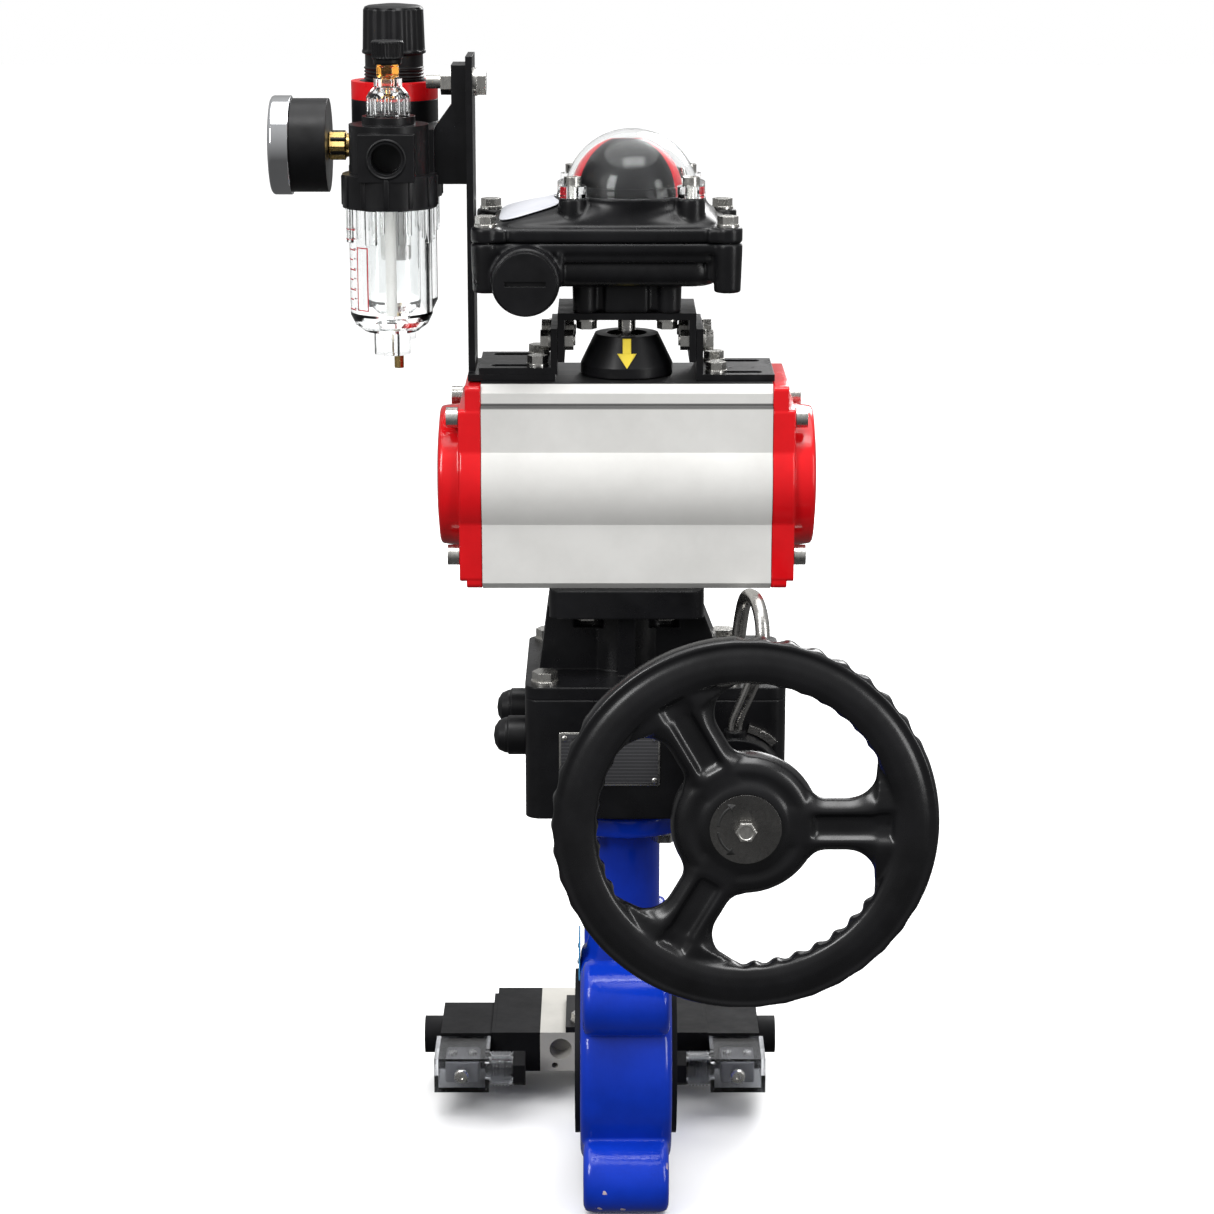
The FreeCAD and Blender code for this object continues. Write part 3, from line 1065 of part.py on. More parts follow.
def regulator_knob():
    y = UNIT_Y
    knob = turned([(0, 0), (KNOB_R - 0.6, 0), (KNOB_R - 0.6, 9), (KNOB_R, 9.6), (KNOB_R, 12), (KNOB_R - 1, 13),
                   (KNOB_R - 1.4, KNOB_TOP_Z - KNOB_Z - 2), (KNOB_R - 3, KNOB_TOP_Z - KNOB_Z), (0, KNOB_TOP_Z - KNOB_Z)],
                  V(FRL_X, y, KNOB_Z), Z)
    tools = [rod(V(FRL_X, y, KNOB_Z - 1), Z, KNOB_R - 3.5, 5.5)]
    tools.append(hex_bar(V(FRL_X, y, KNOB_Z - 1), Z, 12.3, 20))
    for i in range(24):
        x, dy = polar(KNOB_R - 0.2, 15 * i)
        tools.append(rod(V(FRL_X + x, y + dy, KNOB_Z + 13.5), Z, 0.8, 20))
    return cut_all(knob, tools)


def frl_bowl(y):
    """Clear bowl: cylinder, rounded end and the nipple for the drain."""
    top = COLLAR_Z + COLLAR_H - 3.2
    mid = BOWL_BOTTOM_Z + 9
    outer = [(0, 0), (8, 0), (8, 9.5), (12, 10.5), (BOWL_R - 2.2, 13.5), (BOWL_R, 18),
             (BOWL_R, top - BOWL_BOTTOM_Z + 9), (BOWL_R - BOWL_WALL, top - BOWL_BOTTOM_Z + 9),
             (BOWL_R - BOWL_WALL, 19), (BOWL_R - BOWL_WALL - 2, 16), (11, 13), (0, 12.5)]
    bowl = turned(outer, V(FRL_X, y, BOWL_BOTTOM_Z - 9), Z)
    ribs = []
    for i in range(8):
        rib = box(BOWL_R - 1, BOWL_R + 1.6, -2.5, 2.5, COLLAR_Z - 15, COLLAR_Z - 0.3)
        rib.rotate(V(0, 0, 0), Z, 45 * i + 22.5)
        rib.translate(V(FRL_X, y, 0))
        ribs.append(rib)
    bowl = fused([bowl] + ribs)
    return bowl.cut(rod(V(FRL_X, y, mid - 30), Z, DRAIN_R + RUN, 40))


DRAIN_R = 2.4


def drain_cock(y):
    base = BOWL_BOTTOM_Z - 9
    stem = rod(V(FRL_X, y, base - 7), Z, DRAIN_R, 21.5)
    nut = turned([(0, 0), (2.2, 0), (2.2, 6.5), (4.2, 7.3), (4.2, 13.4), (0, 13.4)], V(FRL_X, y, base - 13.7), Z)
    return fused([stem, nut])


def sight_dome():
    """Clear sight glass of the lubricator, hollow, with a bore for the needle."""
    base = PORT_Z + 10.2
    shell = turned([(SIGHT_R - 2, 0), (SIGHT_R, 0), (SIGHT_R, 14.5), (SIGHT_R - 1.2, 17), (6.2, 19.5), (6.2, 23),
                    (NEEDLE_R + RUN, 23), (NEEDLE_R + RUN, 18), (SIGHT_R - 2, 14.5)], V(FRL_X, -UNIT_Y, base), Z)
    flutes = []
    for i in range(12):
        x, dy = polar(SIGHT_R + 0.5, 30 * i)
        flutes.append(rod(V(FRL_X + x, dy - UNIT_Y, PORT_Z + 18), Z, 1.2, 20))
    return cut_all(shell, flutes)


NEEDLE_R = 3.0


def lubricator_knob():
    """Oil needle: amber stem through the sight glass and the knurled turning knob."""
    base = V(FRL_X, -UNIT_Y, PORT_Z + 22)
    shape = turned([(0, 0), (1, 2), (1, 6), (NEEDLE_R, 7), (NEEDLE_R, 11.8), (5.2, 11.8), (5.2, 17.4), (6.4, 17.4),
                    (7.2, 26.8), (6.4, 27.6), (0, 27.6)], base, Z)
    notches = []
    for i in range(12):
        x, dy = polar(7.6, 30 * i)
        notches.append(rod(V(FRL_X + x, dy - UNIT_Y, base.z + 19), Z, 0.9, 20))
    return cut_all(shape, notches)


def gauge_case():
    """Gauge housing with its brass stem, open at the dial side."""
    axis = V(GAUGE_BACK_X, UNIT_Y, PORT_Z)
    length = GAUGE_BACK_X - GAUGE_FRONT_X - 9.5
    case = rod(axis, X * -1, GAUGE_R, length)
    neck = rod(axis - X, X, 5.4, 3)
    hexagon = hex_bar(axis + X, X, 11.6, 6.5)
    stem = rod(axis + X * 5, X, 4.9, FRL_X - UNIT_R + 8 - GAUGE_BACK_X - 5)
    case = fused([case, neck, hexagon, stem])
    pocket = rod(axis - X * 6, X * -1, GAUGE_R - 1.5, length)
    post = rod(axis - X * 5, X * -1, 4, length - 5)
    return case.cut(pocket).fuse(post).cut(rod(axis - X * 8, X * -1, 1.0 + RUN, length)).removeSplitter()


def gauge_bezel():
    """Chromed ring around the glass."""
    base = V(GAUGE_FRONT_X, UNIT_Y, PORT_Z)
    return turned([(BEZEL_R - 3, 0), (BEZEL_R, 0.8), (BEZEL_R, 9.5), (GAUGE_R - 1.5, 9.5), (GAUGE_R - 1.5, 3)],
                  base, X)


def gauge_needle():
    """Pointer in the plane of the dial, on its spindle."""
    base = V(GAUGE_FRONT_X + 6.0, UNIT_Y, PORT_Z)
    spindle = rod(base, X, 1.0, 8)
    hub = rod(base, X, 2.6, 0.8)
    blade = prism([base + V(0, -1.1, -5), base + V(0, 1.1, -5), base + V(0, 0.4, 14), base + V(0, -0.4, 14)], X * 0.8)
    blade.rotate(base, X, GAUGE_REST_DEG)
    return fused([spindle, hub, blade])


GAUGE_REST_DEG = -135.0


# ---- solenoid valve ---------------------------------------------------------------------
BRACKET_BOLT_Z = 158.0
SOL_BOTTOM = SOL_TOP_Z - SOL_H
SPOOL_Z = SOL_TOP_Z - SOL_H / 2
SPOOL_Y = SOL_Y + 26.0
STRAP_HALF = 14.0
STRAP_Y = 73.0


def solenoid_bracket():
    """Bent strap from the back of the gearbox down to the top of the valve block."""
    t = PLATE_T
    back = box(-STRAP_HALF, STRAP_HALF, BOX_HALF_Y, BOX_HALF_Y + t, 140, BRACKET_BOLT_Z + 8)
    shelf = box(-STRAP_HALF, STRAP_HALF, BOX_HALF_Y, STRAP_Y + t, 137, 140)
    drop = box(-STRAP_HALF, STRAP_HALF, STRAP_Y, STRAP_Y + t, SOL_TOP_Z, 140)
    foot = box(-STRAP_HALF, STRAP_HALF, STRAP_Y, SOL_Y + 44, SOL_TOP_Z, SOL_TOP_Z + t)
    wide = box(SOL_X - 17.5, SOL_X + 17.5, SOL_Y, SOL_Y + 44, SOL_TOP_Z, SOL_TOP_Z + t)
    strap = fused([back, shelf, drop, foot, wide])
    tools = [rod(V(x, BOX_HALF_Y - 1, BRACKET_BOLT_Z), Y, M5_R + SLIP, 10) for x in (-8, 8)]
    tools += [rod(V(x, y, SOL_TOP_Z - 1), Z, M5_R + SLIP, 10) for x, y in sol_screw_points()]
    return cut_all(strap, tools)


def sol_screw_points():
    return [(SOL_X - 10, SOL_Y + 8), (SOL_X + 10, SOL_Y + 38)]


def strap_screws():
    screws = [hex_bolt(V(x, BOX_HALF_Y + PLATE_T, BRACKET_BOLT_Z), Y * -1, M5_R, PLATE_T + 4, M5_AF, M5_HEAD, 1.2)
              for x in (-8, 8)]
    screws += [hex_bolt(V(x, y, SOL_TOP_Z + PLATE_T), Z * -1, M5_R, PLATE_T + 8, M5_AF, M5_HEAD, 1.2)
               for x, y in sol_screw_points()]
    return screws


def solenoid_block():
    x0 = SOL_X - SOL_BLOCK_HALF
    x1 = SOL_X + SOL_BLOCK_HALF
    block = box(x0, x1, SOL_Y, SOL_Y + SOL_DEPTH, SOL_BOTTOM, SOL_TOP_Z)
    tools = [rod(V(x0 - 1, SPOOL_Y, SPOOL_Z), X, SPOOL_R + 0.1, 2 * SOL_BLOCK_HALF + 2)]
    for x in (SOL_X - 20, SOL_X, SOL_X + 20):
        tools.append(rod(V(x, SOL_Y + SOL_DEPTH + 1, SPOOL_Z), Y * -1, PORT_R - 1, 16))
    for x in (SOL_X - 20, SOL_X + 20):
        tools.append(rod(V(x, SOL_Y - 1, SPOOL_Z + 1.5), Y, PORT_R - 1, 13))
    for x in (SOL_X - 23, SOL_X + 23):
        tools.append(rod(V(x, SOL_Y - 1, SOL_BOTTOM + 3), Y, 1.6, 20))
    for x, y in sol_screw_points():
        tools.append(rod(V(x, y, SOL_TOP_Z - 9), Z, M5_R + SLIP, 10))
    return cut_all(block, tools)


def solenoid_end_block(side):
    x = SOL_X + side * SOL_BLOCK_HALF
    x1 = x + side * END_BLOCK_L
    block = box(min(x, x1), max(x, x1), SOL_Y, SOL_Y + SOL_DEPTH, SOL_BOTTOM, SOL_TOP_Z)
    return block.cut(rod(V(x - side, SPOOL_Y, SPOOL_Z), X * side, SPOOL_R + 2, 12))


def solenoid_coil(side):
    """End plate, coil and its round nut."""
    x = SOL_X + side * (SOL_BLOCK_HALF + END_BLOCK_L)
    plate_x = x + side * 1.8
    coil_x = plate_x + side * COIL_L
    plate = box(min(x, plate_x), max(x, plate_x), SOL_Y, SOL_Y + SOL_DEPTH - 8, SOL_BOTTOM, SOL_TOP_Z)
    coil = box(min(plate_x, coil_x), max(plate_x, coil_x), SOL_Y + 3, SOL_Y + 3 + COIL_DEPTH,
               SOL_BOTTOM - 1, SOL_TOP_Z - 1.5)
    nut = rod(V(coil_x, SOL_Y + 3 + COIL_DEPTH / 2, SPOOL_Z), X * side, 9.5, COIL_NUT_L)
    return fused([plate, coil, nut])


def connector_x(side):
    return SOL_X + side * (SOL_BLOCK_HALF + END_BLOCK_L + 2.9 + COIL_L / 2)


def din_connector(side):
    """Clear plug socket on the front of the coil with its threaded side outlet."""
    x = connector_x(side)
    y1 = SOL_Y + 2.8
    y0 = y1 - CONNECTOR_D
    z1 = SOL_TOP_Z - 3
    z0 = z1 - CONNECTOR_H
    shell = box(x - CONNECTOR_W / 2, x + CONNECTOR_W / 2, y0, y1, z0, z1)
    outlet = rod(V(x - side * (CONNECTOR_W / 2 - 1), y0 + 10, z0 + 9), X * -side, 8.2, 13)
    shape = fused([shell, outlet])
    tools = [box(x - CONNECTOR_W / 2 + 2, x + CONNECTOR_W / 2 - 2, y0 + 2, y1 - 2, z0 + 2, z1 - 2)]
    tools.append(rod(V(x, y0 + 10, z0 + 9), X * -side, 5, 40))
    return cut_all(shape, tools)


def connector_gland(side):
    """Cable gland nut on the side outlet of the plug socket."""
    x = connector_x(side)
    y0 = SOL_Y + 2.8 - CONNECTOR_D
    start = V(x - side * (CONNECTOR_W / 2 + 12), y0 + 10, SOL_TOP_Z - 3 - CONNECTOR_H + 9)
    nut = hex_bar(start, X * -side, 16, 6)
    return nut.fuse(rod(start + X * side * 5, X * -side, 4.8, 6)).removeSplitter()


def spool():
    length = 2 * SOL_BLOCK_HALF + 12
    x0 = SOL_X - length / 2
    core = rod(V(x0, SPOOL_Y, SPOOL_Z), X, 3, length)
    lands = [rod(V(SOL_X + x - 4, SPOOL_Y, SPOOL_Z), X, SPOOL_R, 8) for x in (-28, -10, 10, 28)]
    return fused([core] + lands)


def build():
    os.makedirs("parts", exist_ok=True)
    save("valve_body", valve_body())
    save("seat_liner", seat_liner())
    save("valve_disc", valve_disc())
    save("valve_stem", valve_stem())
    save("shaft_bushes", shaft_bushes())
    save("flange_bolts", flange_bolts())
    save("gearbox_housing", gearbox_housing())
    save("gearbox_cover", gearbox_cover())
    save("cover_bolts", cover_bolts())
    save("pedestal_screws", pedestal_screws())
    save("stop_screws", stop_screws())
    save("worm_wheel", worm_wheel())
    save("drive_shaft", drive_shaft())
    save("worm_shaft", worm_shaft())
    save("eccentric_sleeve", eccentric_sleeve())
    save("clutch_lever", clutch_lever())
    save("clutch_latch", clutch_latch())
    save("handwheel", handwheel())
    save("hub_plate", hub_plate())
    save("hub_bolt", hub_bolt())
    save("actuator_body", actuator_body())
    save("end_caps", [end_cap(-1), end_cap(1)])
    save("end_cap_screws", end_cap_screws())
    save("pinion", pinion())
    save("piston_left", piston(-1))
    save("piston_right", piston(1))
    save("position_beacon", position_beacon())
    save("bracket_feet", [bracket_foot(-1), bracket_foot(1)])
    save("bracket_bridge", bracket_bridge())
    save("bracket_bolts", bracket_bolts() + strap_screws())
    save("switch_box_base", switch_box_base())
    save("switch_box_lid", switch_box_lid())
    save("lid_bolts", lid_bolts())
    save("indicator_dome", indicator_dome())
    save("dome_screws", dome_screws())
    save("indicator_drum", indicator_drum())
    save("switch_shaft", switch_shaft())
    save("limit_switches", limit_switches())
    save("conduit_plug", conduit_plug())
    save("frl_arm", frl_arm())
    save("frl_mount", frl_mount())
    save("regulator_body", regulator_body())
    save("lubricator_body", lubricator_body())
    save("lock_ring", lock_ring())
    save("adjusting_screw", adjusting_screw())
    save("regulator_knob", regulator_knob())
    save("filter_bowl", frl_bowl(UNIT_Y))
    save("lubricator_bowl", frl_bowl(-UNIT_Y))
    save("drain_cock", drain_cock(UNIT_Y))
    save("sight_dome", sight_dome())
    save("lubricator_knob", lubricator_knob())
    save("gauge_case", gauge_case())
    save("gauge_bezel", gauge_bezel())
    save("gauge_needle", gauge_needle())
    save("solenoid_bracket", solenoid_bracket())
    save("solenoid_block", solenoid_block())
    save("solenoid_ends", [solenoid_end_block(-1), solenoid_end_block(1), solenoid_coil(-1), solenoid_coil(1)])
    save("din_connectors", [din_connector(-1), din_connector(1)])
    save("connector_glands", [connector_gland(-1), connector_gland(1)])
    save("spool", spool())


build()
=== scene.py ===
"""Looks of an air-driven butterfly valve with gear override, switch box, air unit and solenoid valve."""

import math

import bmesh
import bpy
import numpy as np
from bpy.props import FloatProperty, FloatVectorProperty, PointerProperty
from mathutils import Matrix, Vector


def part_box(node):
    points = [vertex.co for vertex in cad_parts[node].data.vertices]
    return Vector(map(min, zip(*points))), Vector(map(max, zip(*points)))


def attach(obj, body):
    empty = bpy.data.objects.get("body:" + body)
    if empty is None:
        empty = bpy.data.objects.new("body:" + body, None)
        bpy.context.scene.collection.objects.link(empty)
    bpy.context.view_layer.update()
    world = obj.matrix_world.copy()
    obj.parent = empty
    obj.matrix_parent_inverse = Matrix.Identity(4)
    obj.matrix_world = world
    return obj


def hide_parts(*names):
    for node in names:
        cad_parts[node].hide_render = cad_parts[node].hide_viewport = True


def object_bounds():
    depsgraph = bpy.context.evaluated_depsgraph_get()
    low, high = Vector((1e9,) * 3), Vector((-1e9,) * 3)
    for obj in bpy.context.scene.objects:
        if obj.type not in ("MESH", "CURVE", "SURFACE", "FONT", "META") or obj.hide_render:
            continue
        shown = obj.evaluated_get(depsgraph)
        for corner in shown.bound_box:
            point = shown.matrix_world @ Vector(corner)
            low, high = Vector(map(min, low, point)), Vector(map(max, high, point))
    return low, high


bl_info = {
    "name": "Actuated Valve Looks",
    "version": (1, 0, 0),
    "blender": (4, 5, 0),
    "location": "3D View > Sidebar > Valve",
    "description": "Builds the castings, trims, finishes and studio of an actuated butterfly valve",
    "category": "Object",
}

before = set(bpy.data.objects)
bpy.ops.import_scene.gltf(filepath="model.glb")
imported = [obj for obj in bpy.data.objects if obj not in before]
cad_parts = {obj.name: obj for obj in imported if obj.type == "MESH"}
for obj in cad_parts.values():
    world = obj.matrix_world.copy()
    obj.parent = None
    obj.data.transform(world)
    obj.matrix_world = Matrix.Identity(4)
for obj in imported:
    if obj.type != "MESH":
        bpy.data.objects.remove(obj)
CAD_BOX = [list(corner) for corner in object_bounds()]
MM = 0.001
TAU = 2 * np.pi
X = np.array([1.0, 0.0, 0.0])
Y = np.array([0.0, 1.0, 0.0])
Z = np.array([0.0, 0.0, 1.0])
# Places and sizes below are in millimetres, dial angles in degrees.
BODY_TOP = 329.5
# Heights of the band of painted groove shade on the actuator body.
GROOVE_SHADE_LOW = 318.3
GROOVE_SHADE_HIGH = 321.3
CYLINDER_Z = 282.5
CAP_START = 65.1
WHEEL_Y = -105.0
RIM_R = 74.0
RIM_HALF = 10.5
RIM_BORE = 63.8
HUB_R = 32.4
LUG_REACH = 62.5
TAG_Z = 49.5
GEARBOX_FRONT = 46.0
UNIT_X = -104.5
REGULATOR_Y = 21.0
LUBRICATOR_Y = -21.0
PORT_Z = 430.0
PRINT_R = 18.28
DIAL_FACE = 153.0
DIAL_START = -135
DIAL_SWEEP = 270
SOLENOID_X = -12.5
SOCKET_REACH = 30.5 + 23 + 2.9 + 13
SOCKET_HALF = 13.75
BOX_X = -8
DOME_SHIFT = 10
BOX_EARS = ((-62, -33), (-62, 33), (44, -33), (44, 33))


def span_of(node):
    """Lowest and highest corner of a CAD node's box, in millimetres."""
    low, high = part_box(node)
    return np.array(low) / MM, np.array(high) / MM


# ---- surfaces ---------------------------------------------------------------------------
def axes_of(axis):
    """The axis with two directions square to it."""
    helper = X if abs(axis[2]) > 0.9 else Z
    side = np.cross(helper, axis)
    side = side / np.linalg.norm(side)
    return axis, side, np.cross(axis, side)


def stepped(points, pitch):
    """The points of a broken line, resampled at about one pitch by their running length."""
    p = np.asarray(points, float)
    run = np.concatenate([[0], np.cumsum(np.linalg.norm(np.diff(p, axis=0), axis=1))])
    at = np.union1d(np.linspace(0, run[-1], max(2, int(run[-1] / pitch))), run)
    return np.stack([np.interp(at, run, p[:, i]) for i in range(p.shape[1])], axis=1)


def turned(profile, base, axis, steps=96, wrap=False, wave=None):
    """A (radius, height) profile turned about an axis.

    point(row, a) = base + height * axis + radius * (cos a * side + sin a * other side);
    wave(radius, height, a), where given, returns the radius to use."""
    p = np.asarray(profile, float)
    a = np.linspace(0, TAU, steps, endpoint=False)[None, :]
    radius = p[:, :1] * np.ones_like(a)
    if wave is not None:
        radius = wave(radius, p[:, 1:2], a)
    along, side, other = axes_of(axis)
    points = np.asarray(base, float) + p[:, 1, None, None] * along
    points = points + radius[..., None] * (np.cos(a)[..., None] * side + np.sin(a)[..., None] * other)
    return points, wrap, True


def rounded_outline(half_x, half_y, corner, steps=8):
    """A rectangle with round corners: four quarter circles about the inset corners, joined by flats."""
    quarter = np.linspace(0, np.pi / 2, steps)[None, :] + np.arange(4)[:, None] * np.pi / 2
    sx = np.array([1, -1, -1, 1])[:, None]
    sy = np.array([1, 1, -1, -1])[:, None]
    x = sx * (half_x - corner) + corner * np.cos(quarter)
    y = sy * (half_y - corner) + corner * np.sin(quarter)
    return np.stack([x.ravel(), y.ravel()], axis=1)


def plate(outline, low, high, edge=0.6, rows=4, origin=(0, 0, 0), axes=(X, Y, Z)):
    """An outline carried from low to high, drawn in along its own normals by a quarter circle at both ends.

    point(row, i) = origin + (outline - inset * normal) on the first two axes + height on the third."""
    o = np.asarray(outline, float)
    tangent = np.roll(o, -1, axis=0) - np.roll(o, 1, axis=0)
    normal = np.stack([tangent[:, 1], -tangent[:, 0]], axis=1)
    normal = normal / np.maximum(np.linalg.norm(normal, axis=1, keepdims=True), 1e-9)
    t = np.linspace(0, np.pi / 2, rows)
    inset = edge * (1 - np.sin(t))
    rise = edge * (1 - np.cos(t))
    inset = np.concatenate([inset, inset[::-1]])[:, None, None]
    height = np.concatenate([low + rise, high - rise[::-1]])[:, None, None]
    flat = o[None] - inset * normal[None]
    points = np.asarray(origin, float) + flat[..., :1] * axes[0] + flat[..., 1:] * axes[1] + height * axes[2]
    return points, False, True


def block(low, high, corner=2.0, edge=0.8):
    """A box with round upright corners and eased edges, between two corner points."""
    low = np.asarray(low, float)
    high = np.asarray(high, float)
    middle = (low + high) / 2
    half = (high - low) / 2
    corner = min(corner, half[0] * 0.98, half[1] * 0.98)
    outline = rounded_outline(half[0], half[1], corner)
    return plate(outline, low[2], high[2], min(edge, corner * 0.9, half[2] * 0.9),
                 origin=(middle[0], middle[1], 0))


def skin(rings):
    """Closed rings of equal count joined row by row."""
    return np.asarray(rings, float), False, True


def tube_along(points, radius, sides=20):
    """A round tube on a path: each section lies square to the path's own gradient."""
    p = np.asarray(points, float)
    tangent = np.gradient(p, axis=0)
    tangent = tangent / np.linalg.norm(tangent, axis=1, keepdims=True)
    helper = np.array([0.31, 0.9, 0.29])
    side = np.cross(tangent, helper)
    side = side / np.linalg.norm(side, axis=1, keepdims=True)
    other = np.cross(tangent, side)
    a = np.linspace(0, TAU, sides, endpoint=False)[None, :, None]
    radius = np.broadcast_to(radius, (len(p),))[:, None, None]
    return p[:, None] + radius * (np.cos(a) * side[:, None] + np.sin(a) * other[:, None]), False, True


def quads(rows, cols, wrap_rows, wrap_cols):
    """Corner numbers of the quads between neighbouring rows and columns of a grid."""
    i = np.arange(rows if wrap_rows else rows - 1)[:, None]
    j = np.arange(cols if wrap_cols else cols - 1)[None, :]
    up = (i + 1) % rows
    on = (j + 1) % cols
    return np.stack([i * cols + j, up * cols + j, up * cols + on, i * cols + on], axis=-1).reshape(-1, 4)


def make_piece(name, sheets, finish, body, fill=True, crease=38, replaces=()):
    """Puts grids of points, in millimetres, into one mesh: doubles merged, ends filled, faces outwards."""
    points = np.concatenate([np.asarray(s[0]).reshape(-1, 3) for s in sheets]) * MM
    faces = []
    offset = 0
    for grid, wrap_rows, wrap_cols in sheets:
        rows, cols = np.asarray(grid).shape[:2]
        faces.append(quads(rows, cols, wrap_rows, wrap_cols) + offset)
        offset += rows * cols
    faces = np.concatenate(faces)
    mesh = bpy.data.meshes.new(name)
    mesh.vertices.add(len(points))
    mesh.vertices.foreach_set("co", points.astype(np.float32).ravel())
    mesh.loops.add(faces.size)
    mesh.loops.foreach_set("vertex_index", faces.astype(np.int32).ravel())
    mesh.polygons.add(len(faces))
    mesh.polygons.foreach_set("loop_start", np.arange(0, faces.size, 4, dtype=np.int32))
    mesh.update(calc_edges=True)
    work = bmesh.new()
    work.from_mesh(mesh)
    bmesh.ops.remove_doubles(work, verts=work.verts, dist=2e-6)
    if fill:
        rim = [e for e in work.edges if e.is_boundary]
        bmesh.ops.holes_fill(work, edges=rim, sides=0)
    bmesh.ops.recalc_face_normals(work, faces=work.faces)
    work.to_mesh(mesh)
    work.free()
    mesh.shade_smooth()
    mesh.set_sharp_from_angle(angle=math.radians(crease))
    piece = bpy.data.objects.new(name, mesh)
    bpy.context.scene.collection.objects.link(piece)
    mesh.materials.append(finish)
    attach(piece, body)
    if replaces:
        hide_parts(*replaces)
    return piece


def settle(piece):
    """Replaces a piece's mesh by the one its modifiers give."""
    bpy.context.view_layer.update()
    graph = bpy.context.evaluated_depsgraph_get()
    done = bpy.data.meshes.new_from_object(piece.evaluated_get(graph))
    done.name = piece.name
    piece.modifiers.clear()
    piece.data = done
    return piece


def cast(piece, voxel, passes, crease=None):
    """Runs a piece's overlapping bodies into one casting with soft edges and fillets."""
    knit = piece.modifiers.new("knit", "REMESH")
    knit.mode = "VOXEL"
    knit.voxel_size = voxel * MM
    knit.use_smooth_shade = True
    ease = piece.modifiers.new("ease", "SMOOTH")
    ease.factor = 0.5
    ease.iterations = passes
    settle(piece)
    piece.data.shade_smooth()
    if crease:
        piece.data.set_sharp_from_angle(angle=math.radians(crease))
    return piece


def thicken(piece, depth):
    """Gives a thin sheet its thickness, half on each side."""
    wall = piece.modifiers.new("wall", "SOLIDIFY")
    wall.thickness = depth * MM
    wall.offset = 0
    return settle(piece)


# ---- finishes ---------------------------------------------------------------------------
class Recipe:
    """Node building for one finish on Object coordinates."""

    def __init__(self, name):
        self.material = bpy.data.materials.new(name)
        self.material.use_nodes = True
        self.tree = self.material.node_tree
        self.shader = self.tree.nodes["Principled BSDF"]
        self.coords = self.tree.nodes.new("ShaderNodeTexCoord").outputs["Object"]

    def node(self, kind, **values):
        made = self.tree.nodes.new(kind)
        for key, value in values.items():
            setattr(made, key, value)
        return made

    def link(self, source, target):
        self.tree.links.new(source, target)

    def stretched(self, scale):
        mapping = self.node("ShaderNodeMapping")
        mapping.inputs["Scale"].default_value = scale
        self.link(self.coords, mapping.inputs["Vector"])
        return mapping.outputs["Vector"]

    def noise(self, scale, detail=4.0, rough=0.55, stretch=None):
        made = self.node("ShaderNodeTexNoise")
        made.inputs["Scale"].default_value = scale
        made.inputs["Detail"].default_value = detail
        made.inputs["Roughness"].default_value = rough
        self.link(self.stretched(stretch) if stretch else self.coords, made.inputs["Vector"])
        return made.outputs["Fac"]

    def cells(self, scale, stretch=None):
        made = self.node("ShaderNodeTexVoronoi")
        made.inputs["Scale"].default_value = scale
        self.link(self.stretched(stretch) if stretch else self.coords, made.inputs["Vector"])
        return made.outputs["Distance"]

    def ramp(self, source, stops):
        made = self.node("ShaderNodeValToRGB")
        made.color_ramp.elements[0].position = stops[0][0]
        made.color_ramp.elements[0].color = (*stops[0][1], 1)
        made.color_ramp.elements[1].position = stops[-1][0]
        made.color_ramp.elements[1].color = (*stops[-1][1], 1)
        for place, colour in stops[1:-1]:
            element = made.color_ramp.elements.new(place)
            element.color = (*colour, 1)
        self.link(source, made.inputs["Fac"])
        return made.outputs["Color"]

    def ranged(self, source, low, high, start=0.3, end=0.7):
        made = self.node("ShaderNodeMapRange")
        made.inputs["From Min"].default_value = start
        made.inputs["From Max"].default_value = end
        made.inputs["To Min"].default_value = low
        made.inputs["To Max"].default_value = high
        self.link(source, made.inputs["Value"])
        return made.outputs["Result"]

    def blend(self, amount, first, second):
        made = self.node("ShaderNodeMix", data_type="RGBA")
        for socket, value in ((made.inputs[0], amount), (made.inputs[6], first), (made.inputs[7], second)):
            if isinstance(value, bpy.types.NodeSocket):
                self.link(value, socket)
            else:
                socket.default_value = (*value, 1) if hasattr(value, "__len__") else value
        return made.outputs[2]

    def colour(self, source):
        self.link(source, self.shader.inputs["Base Color"])

    def roughness(self, source, low, high):
        self.link(self.ranged(source, low, high), self.shader.inputs["Roughness"])

    def relief(self, layers, edge=0.0):
        """Bump layers (source, strength, distance in mm) over rounded-looking edges of a radius in mm."""
        normal = None
        if edge:
            soft = self.node("ShaderNodeBevel", samples=4)
            soft.inputs["Radius"].default_value = edge * MM
            normal = soft.outputs["Normal"]
        for source, strength, depth in layers:
            bump = self.node("ShaderNodeBump")
            bump.inputs["Strength"].default_value = strength
            bump.inputs["Distance"].default_value = depth * MM
            self.link(source, bump.inputs["Height"])
            if normal is not None:
                self.link(normal, bump.inputs["Normal"])
            normal = bump.outputs["Normal"]
        if normal is not None:
            self.link(normal, self.shader.inputs["Normal"])

    def fixed(self, **values):
        for key, value in values.items():
            self.shader.inputs[key.replace("_", " ")].default_value = value
        return self


def painted(name, colour, shade, rough, grain, depth, edge, coat=0.0, shine=0.25):
    """Paint or moulded plastic: drifting shade, varied gloss, orange-peel relief and eased edges."""
    r = Recipe(name)
    r.colour(r.ramp(r.noise(45, 5), [(0.32, shade), (0.68, colour)]))
    r.roughness(r.noise(130, 6), *rough)
    r.relief([(r.noise(grain, 3), 0.35, depth), (r.noise(grain * 0.12, 3), 0.25, depth * 4)], edge)
    return r.fixed(Coat_Weight=coat, Coat_Roughness=0.08, Specular_IOR_Level=shine).material


